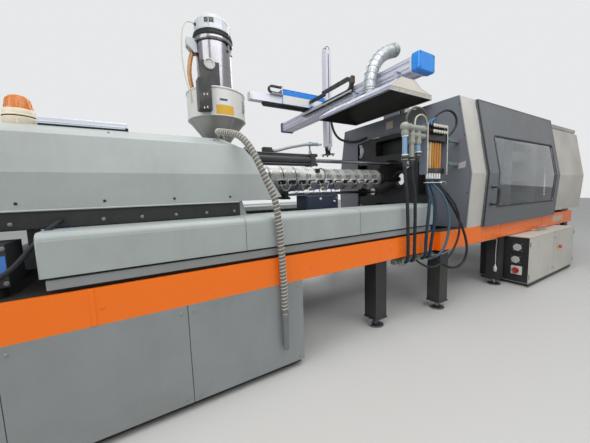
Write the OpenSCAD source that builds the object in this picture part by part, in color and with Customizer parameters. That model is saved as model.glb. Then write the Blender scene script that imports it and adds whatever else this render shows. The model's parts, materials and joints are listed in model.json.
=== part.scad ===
// Injection moulding machine of about 6500 kN, with its hopper loader, water flow regulator,
// fume hood and take-out robot.
// Worked out in machine coordinates: x = 0 is the fixed platen's mould face, +X runs to the clamp
// end, -Y is the operator's side and z = 0 the floor. at_origin() moves all of it to the part frame.

/* [Bed] */
// Height of the injection axis above the floor
axis_z = 1640; // [1560:5:1700]
// Height of the bed's machined top above the floor
bed_top = 948; // [930:1:960]
// How far the orange rails stand above the bed's top
rail_lip = 13; // [4:1:20]
// Height of the orange rails
rail_h = 214; // [180:2:230]
// Depth of the folded rails and panels
fold_d = 30; // [20:1:40]
// Thickness of sheet metal on rails and panels
sheet_t = 5; // [3:1:8]
// Width of the bed under the injection unit
inj_w = 2194; // [2100:2:2260]
// How far the bed steps out under the clamp unit, on each side
step_out = 73; // [60:1:90]
// Bed length from the mould face to the tail end
tail_len = 5400; // [5200:10:5700]
// Distance from the mould face to the step where the bed widens
step_len = 900; // [860:10:960]
// Bed length from the mould face to the clamp end
clamp_len = 3560; // [3500:10:3700]
// Distance from the mould face to the end of the lower panels
panel_gap = 2724; // [2650:4:2800]
// Height of the recessed kick strip
kick_h = 62; // [50:1:80]
// How far the kick strip is set back
kick_in = 60; // [40:2:80]
// Side of the square legs
leg_w = 160; // [140:2:180]
// Height of the levelling feet
foot_h = 90; // [70:2:110]
// Radius of a levelling foot's pad
pad_r = 85; // [70:1:100]
// Width of the bed's long beams
beam_w = 200; // [160:4:220]
// Width of the bed's cross beams
cross_w = 150; // [120:2:170]
// Width of each guide way
way_w = 80; // [60:2:100]
// Height of the injection unit's guide ways
way_h = 52; // [40:1:60]
// Distance of the injection guide ways from the axis
way_y = 390; // [370:2:420]
// Height of the clamp's wear strips
strip_h = 22; // [16:1:30]

/* [Ledge covers] */
// Length of the open tail of the bed, behind the ledge covers
open_tail = 1090; // [1060:10:1200]
// Gap between the bed's step and the ledge covers
ledge_gap = 40; // [20:2:80]
// Height of the ledge covers' lower edge above the bed's top
ledge_lift = 107; // [90:1:120]
// Height of the ledge covers
ledge_h = 239; // [200:1:260]
// Width of the ledge covers
ledge_w = 360; // [320:2:400]
// Chamfer along their top edge
ledge_cut = 39; // [20:1:60]

/* [Platens and tie bars] */
// Width of the platens
platen_w = 1740; // [1700:2:1780]
// Height of the fixed and end platens
platen_h = 1382; // [1340:2:1400]
// Thickness of the fixed platen
fixed_t = 350; // [320:2:380]
// Mould height between the platens when the clamp is open
daylight = 1300; // [1200:10:1320]
// Thickness of the moving platen's front plate
moving_t = 320; // [280:2:340]
// Length of the ejector gap behind the front plate
ejector_gap = 200; // [190:2:230]
// Thickness of the plate behind the ejector gap
bolster_t = 80; // [60:2:100]
// Radius of the tie bars
bar_r = 75; // [65:1:80]
// Half the distance between the tie bars, across
bar_y = 700; // [690:2:715]
// Half the distance between the tie bars, in height
bar_z = 530; // [510:2:545]
// Outer radius of the tie bar nuts
nut_r = 128; // [115:1:132]
// Length of the tie bar nuts
nut_len = 95; // [80:1:110]
// Distance from the mould face to the end platen
end_x = 2650; // [2630:10:2700]
// Thickness of the end platen
end_t = 400; // [360:5:420]
// Radius of the clamp ram
ram_r = 250; // [220:2:270]
// Length of the clamp ram
ram_len = 1800; // [1780:10:1840]
// Outer radius of the clamp cylinder
cyl_r = 420; // [400:2:440]
// Length of the clamp cylinder
cyl_len = 800; // [770:5:830]
// Locating ring bore in the platens, radius
locate_r = 125; // [100:1:130]
// Depth of the locating ring bore
locate_d = 30; // [20:1:35]
// Radius of the mould fixing holes
hole_r = 12; // [8:1:14]
// Depth of the mould fixing holes
hole_d = 60; // [40:2:80]
// Long half pitch of the mould fixing holes
hole_far = 525; // [500:5:540]
// Short half pitch of the mould fixing holes
hole_near = 315; // [290:5:330]
// Radial running fit of bars, rods and screws
fit = 0.06; // [0.03:0.01:0.1]
// Gap under parts that slide on ways
slide_gap = 0.1; // [0.05:0.05:0.3]
// Radius of the ejector rods
ejector_r = 20; // [16:1:24]
// Pitch of the ejector rods from the axis
ejector_pitch = 100; // [80:2:120]
// Thickness of the ejector plate
ejector_t = 50; // [40:1:60]

/* [Guard] */
// Height of the crease that runs along the guard
crease_z = 1637; // [1600:1:1670]
// How far the crease stands outside the bed's side
crease_out = 42; // [34:1:50]
// How far the guard's top leans inside the bed's side
top_in = 128; // [110:2:140]
// Height of the top of the guard
guard_top = 2589; // [2560:1:2620]
// Length of the fixed hoop beside the doors
hoop_len = 350; // [350:1:360]
// Thickness of the dark end portal
portal_t = 16; // [12:1:20]
// Width of the opening in the portal
portal_w = 1420; // [1400:4:1480]
// Height of the portal opening at its sides
portal_side = 2290; // [2260:2:2320]
// Rise of the portal opening's arch
portal_rise = 60; // [30:2:80]
// Thickness of guard sheet metal
guard_t = 4; // [3:1:6]
// Length of each sliding door
door_len = 2467; // [2440:1:2500]
// Height of the door's lower edge
door_low = 946; // [935:1:950]
// Depth of the door's folded edges
door_d = 38; // [30:1:44]
// Clearance between a door and the covers behind it
door_gap = 5; // [3:1:10]
// Left edge of the door window
win_left = 268; // [250:1:300]
// Width of the door frame to the right of its window
win_margin = 166; // [140:1:200]
// Lower edge of the door window
win_low = 1200; // [1160:2:1240]
// Upper edge of the door window
win_high = 2131; // [2090:2:2160]
// Corner radius of the door window
win_r = 40; // [20:1:60]
// Thickness of the window panes
pane_t = 6; // [5:1:10]
// Distance of the door handle from the door's edge
grip_x = 105; // [90:1:130]
// Lower end of the door handle
grip_low = 1236; // [1210:1:1260]
// Height of the door handle
grip_h = 225; // [200:1:260]
// How far the door handle stands out
grip_out = 95; // [80:1:110]
// Radius of the handle's bar
grip_r = 13; // [10:1:16]
// Distance from the clamp cylinder's back to the end cover's outer face
cover_gap = 110; // [90:1:140]
// Height of the end cover's lower edge
cover_low = 1010; // [990:1:1030]
// Height of the end cover's top
cover_top = 2470; // [2450:1:2480]
// Height of the door rails
track_h = 60; // [50:1:70]
// Width of the door rails
track_w = 40; // [30:1:50]

/* [Power cabinet] */
// Left end of the cabinet under the clamp bed
cab_x = 876; // [860:2:900]
// Length of the cabinet
cab_len = 1842; // [1800:2:1900]
// Depth of the cabinet
cab_d = 627; // [600:1:660]
// How far the cabinet stands in front of the bed's side
cab_out = 237; // [220:1:260]
// Height of the cabinet's plinth
cab_low = 58; // [50:1:70]
// Height of the cabinet's top
cab_top = 728; // [700:1:735]
// Radius of the emergency stop's head
stop_r = 24; // [20:1:30]
// Height of the emergency stop above the floor
stop_z = 472; // [440:2:500]
// Distance of the emergency stop from the cabinet's left end
stop_x = 1123; // [1100:1:1150]

/* [Injection unit] */
// Length of the injection carriage
carriage_len = 2450; // [2400:10:2500]
// Distance from the mould face to the carriage's front end
carriage_gap = 2250; // [2240:5:2300]
// Thickness of the carriage plate
carriage_t = 100; // [80:2:110]
// Width of the carriage plate
carriage_w = 960; // [920:2:1000]
// Distance from the mould face to the feed throat's centre
throat_gap = 3048; // [3040:1:3060]
// Length of the feed housing along the axis
feed_len = 280; // [260:2:300]
// Width of the feed housing
feed_w = 420; // [390:2:440]
// Height of the feed housing's top above the axis
feed_up = 150; // [130:1:160]
// Outer radius of the steel barrel
barrel_r = 115; // [105:1:120]
// Radius of the barrel's bore
bore_r = 50; // [40:1:55]
// Distance from the mould face to the barrel's front end
barrel_gap = 640; // [620:2:680]
// Radius of the nozzle
nozzle_r = 40; // [32:1:46]
// Distance from the mould face to the nozzle's tip
nozzle_gap = 110; // [90:1:130]
// Radius of the insulated jackets beside the feed housing
jacket_r = 150; // [140:1:158]
// Radius of the front jackets
jacket_front_r = 135; // [128:1:138]
// Radius of the throat's bore
throat_r = 42; // [36:1:46]
// Half the distance between the injection guide rods
rod_y = 300; // [290:1:320]
// Radius of the injection guide rods
rod_r = 40; // [32:1:46]
// Length of the injection guide rods
rod_len = 1320; // [1300:5:1400]
// Distance from the feed housing to the drive plate
drive_gap = 710; // [700:5:740]
// Thickness of the drive plate
drive_t = 120; // [100:2:140]
// Radius of the screw's hydraulic motor
motor_r = 165; // [150:1:170]
// Length of the screw's hydraulic motor
motor_len = 400; // [360:5:440]
// Radius of the screw's drive shank
shank_r = 44; // [38:1:48]
// Radius of the carriage cylinders' rods
pull_r = 22.5; // [18:0.5:26]
// Side distance of the carriage cylinders
pull_y = 330; // [325:1:345]
// Height of the near carriage cylinder above the axis
pull_z = 190; // [180:1:200]
// Outer radius of the carriage cylinders
pull_body_r = 58; // [50:1:64]
// Length of the carriage cylinders
pull_len = 840; // [800:5:880]

/* [Injection hood] */
// Length of the hood along the axis
hood_len = 1754; // [1700:2:1800]
// Distance from the mould face to the hood's front seam
hood_gap = 3146; // [3120:2:3170]
// Height of the hood's lower edge
hood_low = 1411; // [1390:1:1430]
// Height of the hood's crease
hood_crease = 1618; // [1590:1:1640]
// Height of the hood's upper edge
hood_edge = 1839; // [1810:1:1860]
// Height of the hood's ridge
hood_ridge = 1975; // [1950:1:2000]
// Half width of the hood at its crease
hood_y = 900; // [880:1:920]
// How far the crease stands proud of the upper and lower edges
hood_bulge = 30; // [20:1:40]
// Half width of the hood's flat top
hood_flat = 430; // [400:2:460]
// Height of the dark skirt under the hood
skirt_h = 108; // [90:1:112]
// Thickness of the hood's sheet metal
hood_t = 5; // [3:1:8]
// Length of the cut-out in the hood's top for the hopper
hood_cut = 154; // [120:2:200]
// Reach of the hood's nose below the hopper
nose_len = 374; // [340:2:400]

/* [Hopper and loader] */
// Radius of the hopper
hopper_r = 290; // [280:1:300]
// Height of the hopper's cylindrical rim
hopper_h = 266; // [240:2:290]
// Height of the lower edge of the hopper's rim
hopper_z = 2226; // [2200:2:2250]
// Height of the hopper's cone
hopper_cone = 285; // [270:1:300]
// Wall of the hopper
hopper_t = 4; // [3:1:6]
// Radius of the loader's vessel
vessel_r = 172; // [160:1:180]
// Height of the loader's vessel
vessel_h = 485; // [460:1:500]
// Height of the ring and seal on the vessel
ring_h = 96; // [80:1:110]
// Height of the loader's head
head_h = 240; // [220:1:260]

/* [Fume hood and duct] */
// Length of the fume hood along the axis
fume_len = 805; // [780:5:840]
// Width of the fume hood
fume_w = 1412; // [1380:2:1440]
// Distance from the mould face to the fume hood's right rim
fume_gap = 398; // [390:1:420]
// Height of the fume hood's rim
fume_z = 2629; // [2610:1:2640]
// Height of the fume hood above its rim
fume_h = 225; // [200:1:240]
// Width of the fume hood's flat ridge
fume_top = 240; // [225:1:260]
// Sheet thickness of the fume hood
fume_t = 4; // [3:1:6]
// Radius of the duct
duct_r = 92; // [85:1:96]
// Wall of the duct
duct_t = 3; // [2:0.5:5]
// Radius of the duct's bend
duct_bend = 640; // [600:5:680]
// Angle that the duct bends through
duct_turn = 67; // [60:1:72]

/* [Flow regulator] */
// Left edge of the regulator's frame, from the mould face
flow_gap = 1150; // [1140:1:1160]
// Width of the regulator's frame
flow_w = 375; // [360:1:390]
// Height of the regulator's lower edge
flow_z = 1619; // [1600:1:1640]
// Height of the regulator
flow_h = 531; // [500:1:560]
// Front plane of the regulator, from the centreline
flow_y = 1150; // [1145:1:1160]
// Depth of the regulator's side plates
flow_d = 90; // [80:1:100]
// Number of flow tubes
tubes = 6; // [4:1:8]
// Radius of a flow tube
tube_r = 15; // [12:1:18]
// Radius of the supply pipes
pipe_r = 32; // [26:1:36]

/* [Take-out robot] */
// Height of the lower face of the robot's cross beam
beam_z = 3000; // [2980:5:3040]
// Side of the robot's cross beam, in height
beam_h = 185; // [170:1:200]
// Width of the robot's cross beam
beam_d = 290; // [270:2:296]
// Near end of the cross beam, from the centreline
beam_near = 558; // [540:2:600]
// Length of the cross beam
beam_len = 3534; // [3480:2:3600]
// Wall of the beams
beam_t = 12; // [8:1:16]
// Where the robot's carriage stands on the beam, from the centreline
take_y = 1900; // [1880:5:1920]
// Length of the kick beam
kick_len = 1844; // [1800:2:1880]
// Distance from the mould face to the kick beam's front end
kick_gap = 20; // [10:1:40]
// Height of the kick beam
kick_tall = 140; // [130:1:150]
// Width of the kick beam
kick_w = 140; // [130:1:150]
// Length of the vertical arm
arm_len = 1993; // [1900:1:2050]
// Side of the vertical arm
arm_w = 140; // [120:1:150]
// Height of the arm's lower end
arm_z = 2470; // [2450:5:2490]

/* [Hidden] */

$fn = 48;
seat = 0.3;
inj_y = inj_w / 2;
clamp_y = inj_y + step_out;
rail_top = bed_top + rail_lip;
rail_low = rail_top - rail_h;
frame_low = rail_low + 20;
inj_leg_y = inj_y - kick_in - sheet_t - pad_r - 10;
clamp_leg_y = clamp_y - fold_d - leg_w / 2 - 10;
inj_legs = [-tail_len + 200, -tail_len + 1250, -panel_gap - 110, -1700];
clamp_legs = [-step_len + 150, cab_x - 156, cab_x + cab_len + 202, clamp_len - 120];
end_back = end_x + end_t;
cover_right = end_back + cyl_len + cover_gap;
door_out = door_d + 2;
win_right = door_len - win_margin;
track_z = guard_top - 92;
throat_x = -throat_gap;
feed_front = throat_x + feed_len / 2;
feed_back = throat_x - feed_len / 2;
feed_top = axis_z + feed_up;
carriage_x = -carriage_gap - carriage_len;
carriage_z = bed_top + way_h + slide_gap;
carriage_top = carriage_z + carriage_t;
drive_x = feed_back - drive_gap - drive_t;
hood_right = -hood_gap;
hood_left = hood_right - hood_len;
hopper_top = hopper_z + hopper_h;
vessel_top = hopper_top + vessel_h;
fume_right = -fume_gap;
fume_x = fume_right - fume_len / 2;
flow_left = -flow_gap;
flow_mid = flow_left + flow_w / 2;
beam_right = -hoop_len;
beam_left = beam_right - beam_d;
beam_top = beam_z + beam_h;
take_z = beam_top + 14;
arm_x = -kick_gap - arm_w / 2 - 20;
stop_out = 32;
knob_out = 34;
left_end = -tail_len;
right_end = cover_right;
front_end = -(clamp_y + cab_out + 3 + stop_out);
rear_end = beam_len - beam_near + 26;

// Moves machine coordinates to the part frame: the middle of the base is the origin
module at_origin()
    translate([-(left_end + right_end) / 2, -(front_end + rear_end) / 2, 0]) children();

module box(x, y, z) translate([x[0], y[0], z[0]]) cube([x[1] - x[0], y[1] - y[0], z[1] - z[0]]);
module along_x(x) translate([x[0], 0, 0]) rotate([90, 0, 90]) linear_extrude(x[1] - x[0]) children();
module along_y(y) translate([0, y[1], 0]) rotate([90, 0, 0]) linear_extrude(y[1] - y[0]) children();
module rod_x(x, y, z, r) translate([x[0], y, z]) rotate([0, 90, 0]) cylinder(h = x[1] - x[0], r = r);
module rod_y(x, y, z, r) translate([x, y[1], z]) rotate([90, 0, 0]) cylinder(h = y[1] - y[0], r = r);
module rod_z(x, y, z, r) translate([x, y, z[0]]) cylinder(h = z[1] - z[0], r = r);
module front() mirror([0, 1, 0]) children();
module both_sides() { children(); mirror([0, 1, 0]) children(); }
module rounded(x, z, r)
    translate([x[0] + r, z[0] + r]) round_square([x[1] - x[0] - 2 * r, z[1] - z[0] - 2 * r], r);
// A square with round corners, drawn with true arcs
module round_square(size, r) {
    translate([-r, 0]) square([size[0] + 2 * r, size[1]]);
    translate([0, -r]) square([size[0], size[1] + 2 * r]);
    for (x = [0, size[0]], z = [0, size[1]]) translate([x, z]) circle(r);
}
// A shallow sheet-metal tray with its back open: y is the outer face, ribs stand on its inside
module tray(x, y, z, ribs) {
    difference() {
        box(x, [y - fold_d, y], z);
        box([x[0] + sheet_t, x[1] - sheet_t], [y - fold_d - 1, y - sheet_t], [z[0] + sheet_t, z[1] - sheet_t]);
    }
    for (i = [1:1:ribs]) {
        rib_x = x[0] + i * (x[1] - x[0]) / (ribs + 1);
        box([rib_x, rib_x + sheet_t], [y - fold_d, y - 1], [z[0] + 1, z[1] - 1]);
    }
}

// The guard's outline: upright sides that lean out to a crease and in again above it
crease_y = clamp_y + crease_out;
top_y = clamp_y - top_in;
function side_y(z) = z < crease_z
    ? clamp_y + crease_out * (z - rail_top) / (crease_z - rail_top)
    : crease_y + (top_y - crease_y) * (z - crease_z) / (guard_top - crease_z);
// A creased wall between two heights, its outer face d outside the outline and t thick
function wall(z, d, t) = [
    [side_y(z[0]) + d, z[0]], [crease_y + d, crease_z], [side_y(z[1]) + d, z[1]],
    [side_y(z[1]) + d - t, z[1]], [crease_y + d - t, crease_z], [side_y(z[0]) + d - t, z[0]],
];
function outline(z, d) = let (a = side_y(z[0]) - d, b = crease_y - d, c = side_y(z[1]) - d) [
    [a, z[0]], [b, crease_z], [c, z[1]], [-c, z[1]], [-b, crease_z], [-a, z[0]],
];
module creased(x, z, d, t) along_x(x) polygon(wall(z, d, t));

// Cord routes: a smooth curve through hand-picked points, swept with a round section
function unit(v) = v / norm(v);
function knot(p, i) = p[max(0, min(len(p) - 1, i))];
function curve_at(p, i, t) = let (a = knot(p, i - 1), b = knot(p, i), c = knot(p, i + 1), d = knot(p, i + 2))
    (2 * b + (c - a) * t + (2 * a - 5 * b + 4 * c - d) * t * t + (3 * b - a - 3 * c + d) * t * t * t) / 2;
function smooth(p, n) = concat([for (i = [0:len(p) - 2], k = [0:n - 1]) curve_at(p, i, k / n)], [p[len(p) - 1]]);
function tangent(p, i) = unit(knot(p, i + 1) - knot(p, i - 1));
function normals(p, i, n) = i >= len(p) ? [] : let (t = tangent(p, i), m = unit(n - (n * t) * t))
    concat([m], normals(p, i + 1, m));
module tube(p, r, sides = 8) {
    side = normals(p, 0, [0.3, 0.9, 0.3]);
    last = len(p) - 1;
    ring = [for (i = [0:last]) let (t = tangent(p, i), m = side[i], b = cross(t, m))
        for (k = [0:sides - 1]) p[i] + r * (cos(360 * k / sides) * m + sin(360 * k / sides) * b)];
    walls = [for (i = [0:last - 1], k = [0:sides - 1]) let (j = (k + 1) % sides)
        [i * sides + k, (i + 1) * sides + k, (i + 1) * sides + j, i * sides + j]];
    ends = [[for (k = [0:sides - 1]) k], [for (k = [sides - 1:-1:0]) last * sides + k]];
    polyhedron(ring, concat(walls, ends));
}

// Bed
module bed_frame() color("#2b2c2e") at_origin() {
    inj_in = inj_y - fold_d - beam_w;
    clamp_in = clamp_y - fold_d - beam_w;
    count = 11;
    pitch = (right_of_frame - left_of_frame - cross_w) / (count - 1);
    both_sides() {
        box([left_of_frame, -step_len + beam_w], [inj_in, inj_in + beam_w], [frame_low, bed_top]);
        box([-step_len + sheet_t, right_of_frame], [clamp_in, clamp_in + beam_w], [frame_low, bed_top]);
        box([left_of_frame, -step_len + beam_w], [way_y - 60, way_y + 60], [frame_low, bed_top]);
        box([-step_len, right_of_frame], [strip_y - 90, strip_y + 90], [frame_low, bed_top]);
        box([ledge_left + 20, ledge_left + ledge_len - 20], [inj_y - ledge_w, inj_y - kick_in],
            [bed_top - 1, bed_top + ledge_lift]);
    }
    for (i = [0:count - 1])
        let (x = left_of_frame + i * pitch, reach = 5 + (x > -step_len + sheet_t ? clamp_in : inj_in))
            box([x, x + cross_w], [-reach, reach], [frame_low, bed_top - 10]);
}
left_of_frame = left_end + 60;
right_of_frame = clamp_len - 40;
strip_y = platen_w / 2 - 190;
ledge_left = left_end + open_tail;
ledge_len = -step_len - ledge_gap - ledge_left;

module leg_places() {
    both_sides() {
        for (x = inj_legs) translate([x, inj_leg_y, 0]) children();
        for (x = clamp_legs) translate([x, clamp_leg_y, 0]) children();
    }
}
module bed_base() color("#1f2022") at_origin() {
    leg_places() {
        translate([-leg_w / 2, -leg_w / 2, foot_h]) cube([leg_w, leg_w, frame_low - foot_h]);
        translate([-leg_w / 2 - 10, -leg_w / 2 - 5, foot_h]) cube([leg_w + 20, leg_w + 10, 16]);
    }
    kick_y = inj_y - kick_in;
    both_sides()
        box([left_end + kick_in, -panel_gap], [kick_y - sheet_t, kick_y], [4, kick_h]);
    box([left_end + kick_in, left_end + kick_in + sheet_t], [-kick_y, kick_y], [4, kick_h]);
}
module levelling_feet() color("#8d9093") at_origin() leg_places() {
    cylinder(h = 12, r = pad_r);
    translate([0, 0, 12]) cylinder(h = 12, r1 = pad_r, r2 = pad_r / 2);
    cylinder(h = foot_h, r = 18);
    translate([0, 0, foot_h - 28]) cylinder(h = 24, r = 32, $fn = 6);
}
module side_panels() color("#9ba09f") at_origin() {
    width = (tail_len - panel_gap) / 3;
    both_sides() for (i = [0:2])
        tray([left_end + i * width + 2, left_end + (i + 1) * width - 2], inj_y, [kick_h, rail_low], 0);
    both_sides() box([left_end + 4, -panel_gap - 4], [inj_y - kick_in - sheet_t, inj_y - fold_d], [kick_h, kick_h + sheet_t]);
    box([left_end, left_end + sheet_t], [-inj_y + fold_d + 2, inj_y - fold_d - 2], [kick_h, rail_low]);
}
module side_rails() color("#e8621f") at_origin() {
    z = [rail_low, rail_top];
    both_sides() {
        tray([left_end, -step_len], inj_y, z, 6);
        tray([-step_len, clamp_len], clamp_y, z, 6);
        box([-step_len, -step_len + sheet_t], [inj_y - fold_d, clamp_y], z);
    }
    box([left_end, left_end + sheet_t], [-inj_y, inj_y], z);
    box([clamp_len - sheet_t, clamp_len], [-clamp_y, clamp_y], z);
}
function ledge_profile(t) = let (low = bed_top + ledge_lift, top = low + ledge_h, out = inj_y - t) [
    [out, low + t], [out, top - ledge_cut - t / 2], [out - ledge_cut + t / 2, top - t],
    [inj_y - ledge_w + t, top - t], [inj_y - ledge_w + t, low + t],
];
module ledge_covers() color("#b9bfb9") at_origin() both_sides() difference() {
    along_x([ledge_left, ledge_left + ledge_len]) polygon(ledge_profile(0));
    along_x([ledge_left + sheet_t, ledge_left + ledge_len - sheet_t]) polygon(ledge_profile(sheet_t));
}
module guide_ways() color("#a7abae") at_origin() both_sides() {
    box([left_end + 150, -carriage_gap + 30], [way_y - way_w / 2, way_y + way_w / 2], [bed_top, bed_top + way_h]);
    box([10, end_x - 10], [strip_y - 60, strip_y + 60], [bed_top, bed_top + strip_h]);
}
// Oil tank in the bed, with the motor and pump that stand on the open tail
module power_pack() color("#26282b") at_origin() {
    tank_x = left_end + 300;
    pump_y = -(inj_y - 250);
    pump_x = ledge_left - 240;
    motor_z = bed_top + 165;
    difference() {
        box([tank_x, tank_x + 2000], [-700, 700], [frame_low - 600, frame_low]);
        box([tank_x + 6, tank_x + 1994], [-694, 694], [frame_low - 594, frame_low - 6]);
    }
    rod_z(pump_x, pump_y - 40, [bed_top, bed_top + 61], 60);
    box([pump_x - 70, pump_x + 90], [pump_y - 110, pump_y + 125], [bed_top + 60, bed_top + 290]);
    rod_x([pump_x - 470, pump_x - 69], pump_y, motor_z, 145);
    rod_x([pump_x - 500, pump_x - 470], pump_y, motor_z, 132);
    for (x = [pump_x - 430, pump_x - 170])
        box([x, x + 70], [pump_y - 150, pump_y + 110], [bed_top, motor_z - 70]);
    box([pump_x - 360, pump_x - 240], [pump_y - 60, pump_y + 60], [motor_z + 130, motor_z + 180]);
}

// Clamp unit
module bar_places(x) for (y = [-bar_y, bar_y], z = [-bar_z, bar_z]) translate([x, y, axis_z + z]) rotate([0, 90, 0]) children();
module plate_block(x, low) {
    top = bed_top + platen_h;
    cut = 70;
    half = platen_w / 2;
    along_x(x) polygon([[-half, low + cut], [-half + cut, low], [half - cut, low], [half, low + cut],
        [half, top - cut], [half - cut, top], [-half + cut, top], [-half, top - cut]]);
}
module fixing_holes(x) for (s = [[hole_far, hole_near], [hole_near, hole_far]], y = [-1, 1], z = [-1, 1])
    rod_x(x, y * s[0], axis_z + z * s[1], hole_r);
module fixed_platen() color("#8b9094") at_origin() difference() {
    plate_block([-fixed_t, 0], bed_top);
    bar_places(-fixed_t - 1) cylinder(h = fixed_t + 2, r = bar_r + fit);
    bar_places(-fixed_t - 1) cylinder(h = nut_len + 5, r = nut_r + 8);
    translate([-fixed_t - 1, 0, axis_z]) rotate([0, 90, 0]) cylinder(h = fixed_t - 120, r1 = 300, r2 = 140);
    rod_x([-fixed_t, 1], 0, axis_z, 100);
    rod_x([-locate_d, 1], 0, axis_z, locate_r);
    fixing_holes([-hole_d, 1]);
    for (z = [-1, 1]) translate([-fixed_t - 1, 0, axis_z + z * 505]) along_x([0, 181])
        rounded([-300, 300], [-120, 120], 40);
    for (y = [-1, 1]) translate([-fixed_t - 1, y * 640, axis_z]) along_x([0, 181])
        rounded([-150, 150], [-270, 270], 40);
}
module tie_bars() color("#c3c7ca") at_origin()
    bar_places(-fixed_t + 10) cylinder(h = end_back + nut_len + 20 + fixed_t - 10, r = bar_r);
module tie_bar_nuts() color("#55595c") at_origin() for (x = [-fixed_t + 4, end_back]) bar_places(x) difference() {
    cylinder(h = nut_len, r = nut_r);
    translate([0, 0, -1]) cylinder(h = nut_len + 2, r = bar_r + fit);
    for (a = [0:60:300]) rotate(a) translate([nut_r, 0, -1]) cylinder(h = nut_len + 2, r = 14);
}
module end_platen() color("#8b9094") at_origin() difference() {
    union() {
        plate_block([end_x, end_back], bed_top);
        rod_x([end_back - 1, end_back + cyl_len], 0, axis_z, cyl_r);
        rod_x([end_back + cyl_len - 60, end_back + cyl_len], 0, axis_z, cyl_r + 30);
    }
    bar_places(end_x - 1) cylinder(h = end_t + 2, r = bar_r + fit);
    rod_x([end_x - 1, end_back + 60], 0, axis_z, ram_r + fit);
    rod_x([end_back + 59, end_back + cyl_len - 60], 0, axis_z, ram_r + 40);
    for (y = [-1, 1], z = [-1, 1]) translate([end_x - 1, y * 560, axis_z + z * 190]) along_x([0, 221])
        rounded([-180, 180], [-110, 110], 40);
}
moving_back = daylight + moving_t;
bolster_x = moving_back + ejector_gap;
ram_x = bolster_x + bolster_t;
plate_half = 330;
module moving_platen() color("#8b9094") at_origin() difference() {
    slide_z = bed_top + strip_h + slide_gap;
    union() {
        plate_block([daylight, moving_back], slide_z);
        both_sides() box([daylight - 60, moving_back + 280], [strip_y - 60, strip_y + 60], [slide_z, slide_z + 60]);
        for (y = [-1, 1], z = [-1, 1]) translate([moving_back - 1, y * (plate_half + 70), axis_z + z * 330])
            translate([0, -50, -50]) cube([ejector_gap + 2, 100, 100]);
        along_x([bolster_x, ram_x]) translate([0, axis_z]) rounded([-500, 500], [-420, 420], 60);
    }
    bar_places(daylight - 1) cylinder(h = moving_t + 2, r = bar_r + fit);
    rod_x([daylight - 1, daylight + locate_d], 0, axis_z, locate_r);
    fixing_holes([daylight - 1, daylight + hole_d]);
    ejector_places() rod_x([daylight - 1, moving_back + 1], 0, 0, ejector_r + fit);
}
module ejector_places() for (p = [[0, 0], [1, 1], [1, -1], [-1, 1], [-1, -1]])
    translate([0, p[0] * ejector_pitch, axis_z + p[1] * ejector_pitch]) children();
module clamp_ram() color("#d4d7da") at_origin() rod_x([ram_x, ram_x + ram_len], 0, axis_z, ram_r);
module ejector_plate() color("#6d7276") at_origin() {
    x = bolster_x - ejector_t - 2;
    along_x([x, x + ejector_t]) translate([0, axis_z]) rounded([-plate_half + 10, plate_half - 10], [-260, 260], 30);
    ejector_places() rod_x([daylight + locate_d + 2, x + 1], 0, 0, ejector_r);
}

// Guard
module arch(w, side, rise) {
    r = (w * w / 4 + rise * rise) / (2 * rise);
    translate([-w / 2, 0]) square([w, side]);
    intersection() {
        translate([-w / 2, side - 1]) square([w, rise + 2]);
        translate([0, side + rise - r]) circle(r, $fn = 256);
    }
}
module guard_portal() color("#4b525c") at_origin() along_x([-hoop_len - portal_t, -hoop_len]) difference() {
    polygon(outline([rail_top, guard_top], 0));
    arch(portal_w, portal_side, portal_rise);
}
module guard_hoop() color("#b6b8b6") at_origin() difference() {
    union() {
        along_x([-hoop_len, -4]) difference() {
            polygon(outline([rail_top, guard_top], 0));
            polygon(outline([rail_top - 1, guard_top - guard_t], guard_t));
        }
        along_x([-34, -4]) difference() {
            polygon(outline([rail_top, guard_top], 1));
            polygon(outline([rail_top - 1, guard_top - 70], 60));
        }
    }
    box([riser_x[0] - 12, riser_x[1] + 12], [-riser_w - 12, riser_w + 12], [guard_top - 71, guard_top + 1]);
}
riser_x = [-hoop_len + 20, -90];
riser_w = 150;
module end_cover() color("#aeb0ab") at_origin() {
    z = [cover_low, cover_top];
    d = door_gap - 2;
    difference() {
        along_x([door_len, cover_right]) polygon(outline(z, d));
        along_x([door_len - 1, cover_right - guard_t]) polygon(outline([cover_low - 1, cover_top - guard_t], d + guard_t));
        for (i = [0:7], j = [-1, 1]) translate([cover_right - 5, j * 420, cover_low + 260 + i * 60])
            along_x([0, 6]) rounded([-210, 210], [0, 22], 10);
    }
    post_y = clamp_y - fold_d - 4;
    both_sides() for (x = [door_len + 60, clamp_len - 200]) {
        box([x, x + 60], [post_y - 60, post_y], [bed_top, cover_low + 40]);
        box([x, x + 60], [post_y - 1, side_y(cover_low) - d - guard_t + 1], [rail_top + 4, cover_low + 40]);
    }
}
module door_rails() color("#5d6165") at_origin() both_sides() {
    y = [side_y(guard_top) - 42, side_y(guard_top) - 42 + track_w];
    box([-4, cover_right - 20], y, [track_z, track_z + track_h]);
    for (x = [door_len + 30, cover_right - 120])
        box([x, x + 70], y, [cover_top, track_z + 1]);
}
module window_hole(gap)
    along_y([clamp_y - 200, clamp_y + 200]) rounded([win_left + gap, win_right - gap], [win_low + gap, win_high - gap], win_r);
module door_leaf() {
    z = [door_low, guard_top - 4];
    x = [0, door_len];
    edge = guard_t;
    difference() {
        creased(x, z, door_out, door_d);
        difference() {
            creased([x[0] + edge, x[1] - edge], [z[0] + edge, z[1] - edge], door_out - edge, door_d);
            window_hole(-edge);
        }
        window_hole(0);
    }
    for (i = [220, door_len - 320])
        box([i, i + 100], [side_y(guard_top) - 40, side_y(guard_top) + door_out - 2], [track_z + track_h + seat, guard_top - 8]);
}
module window_pane() intersection() {
    creased([win_left, win_right], [win_low, win_high], door_out - 10, pane_t);
    window_hole(seat);
}
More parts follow.
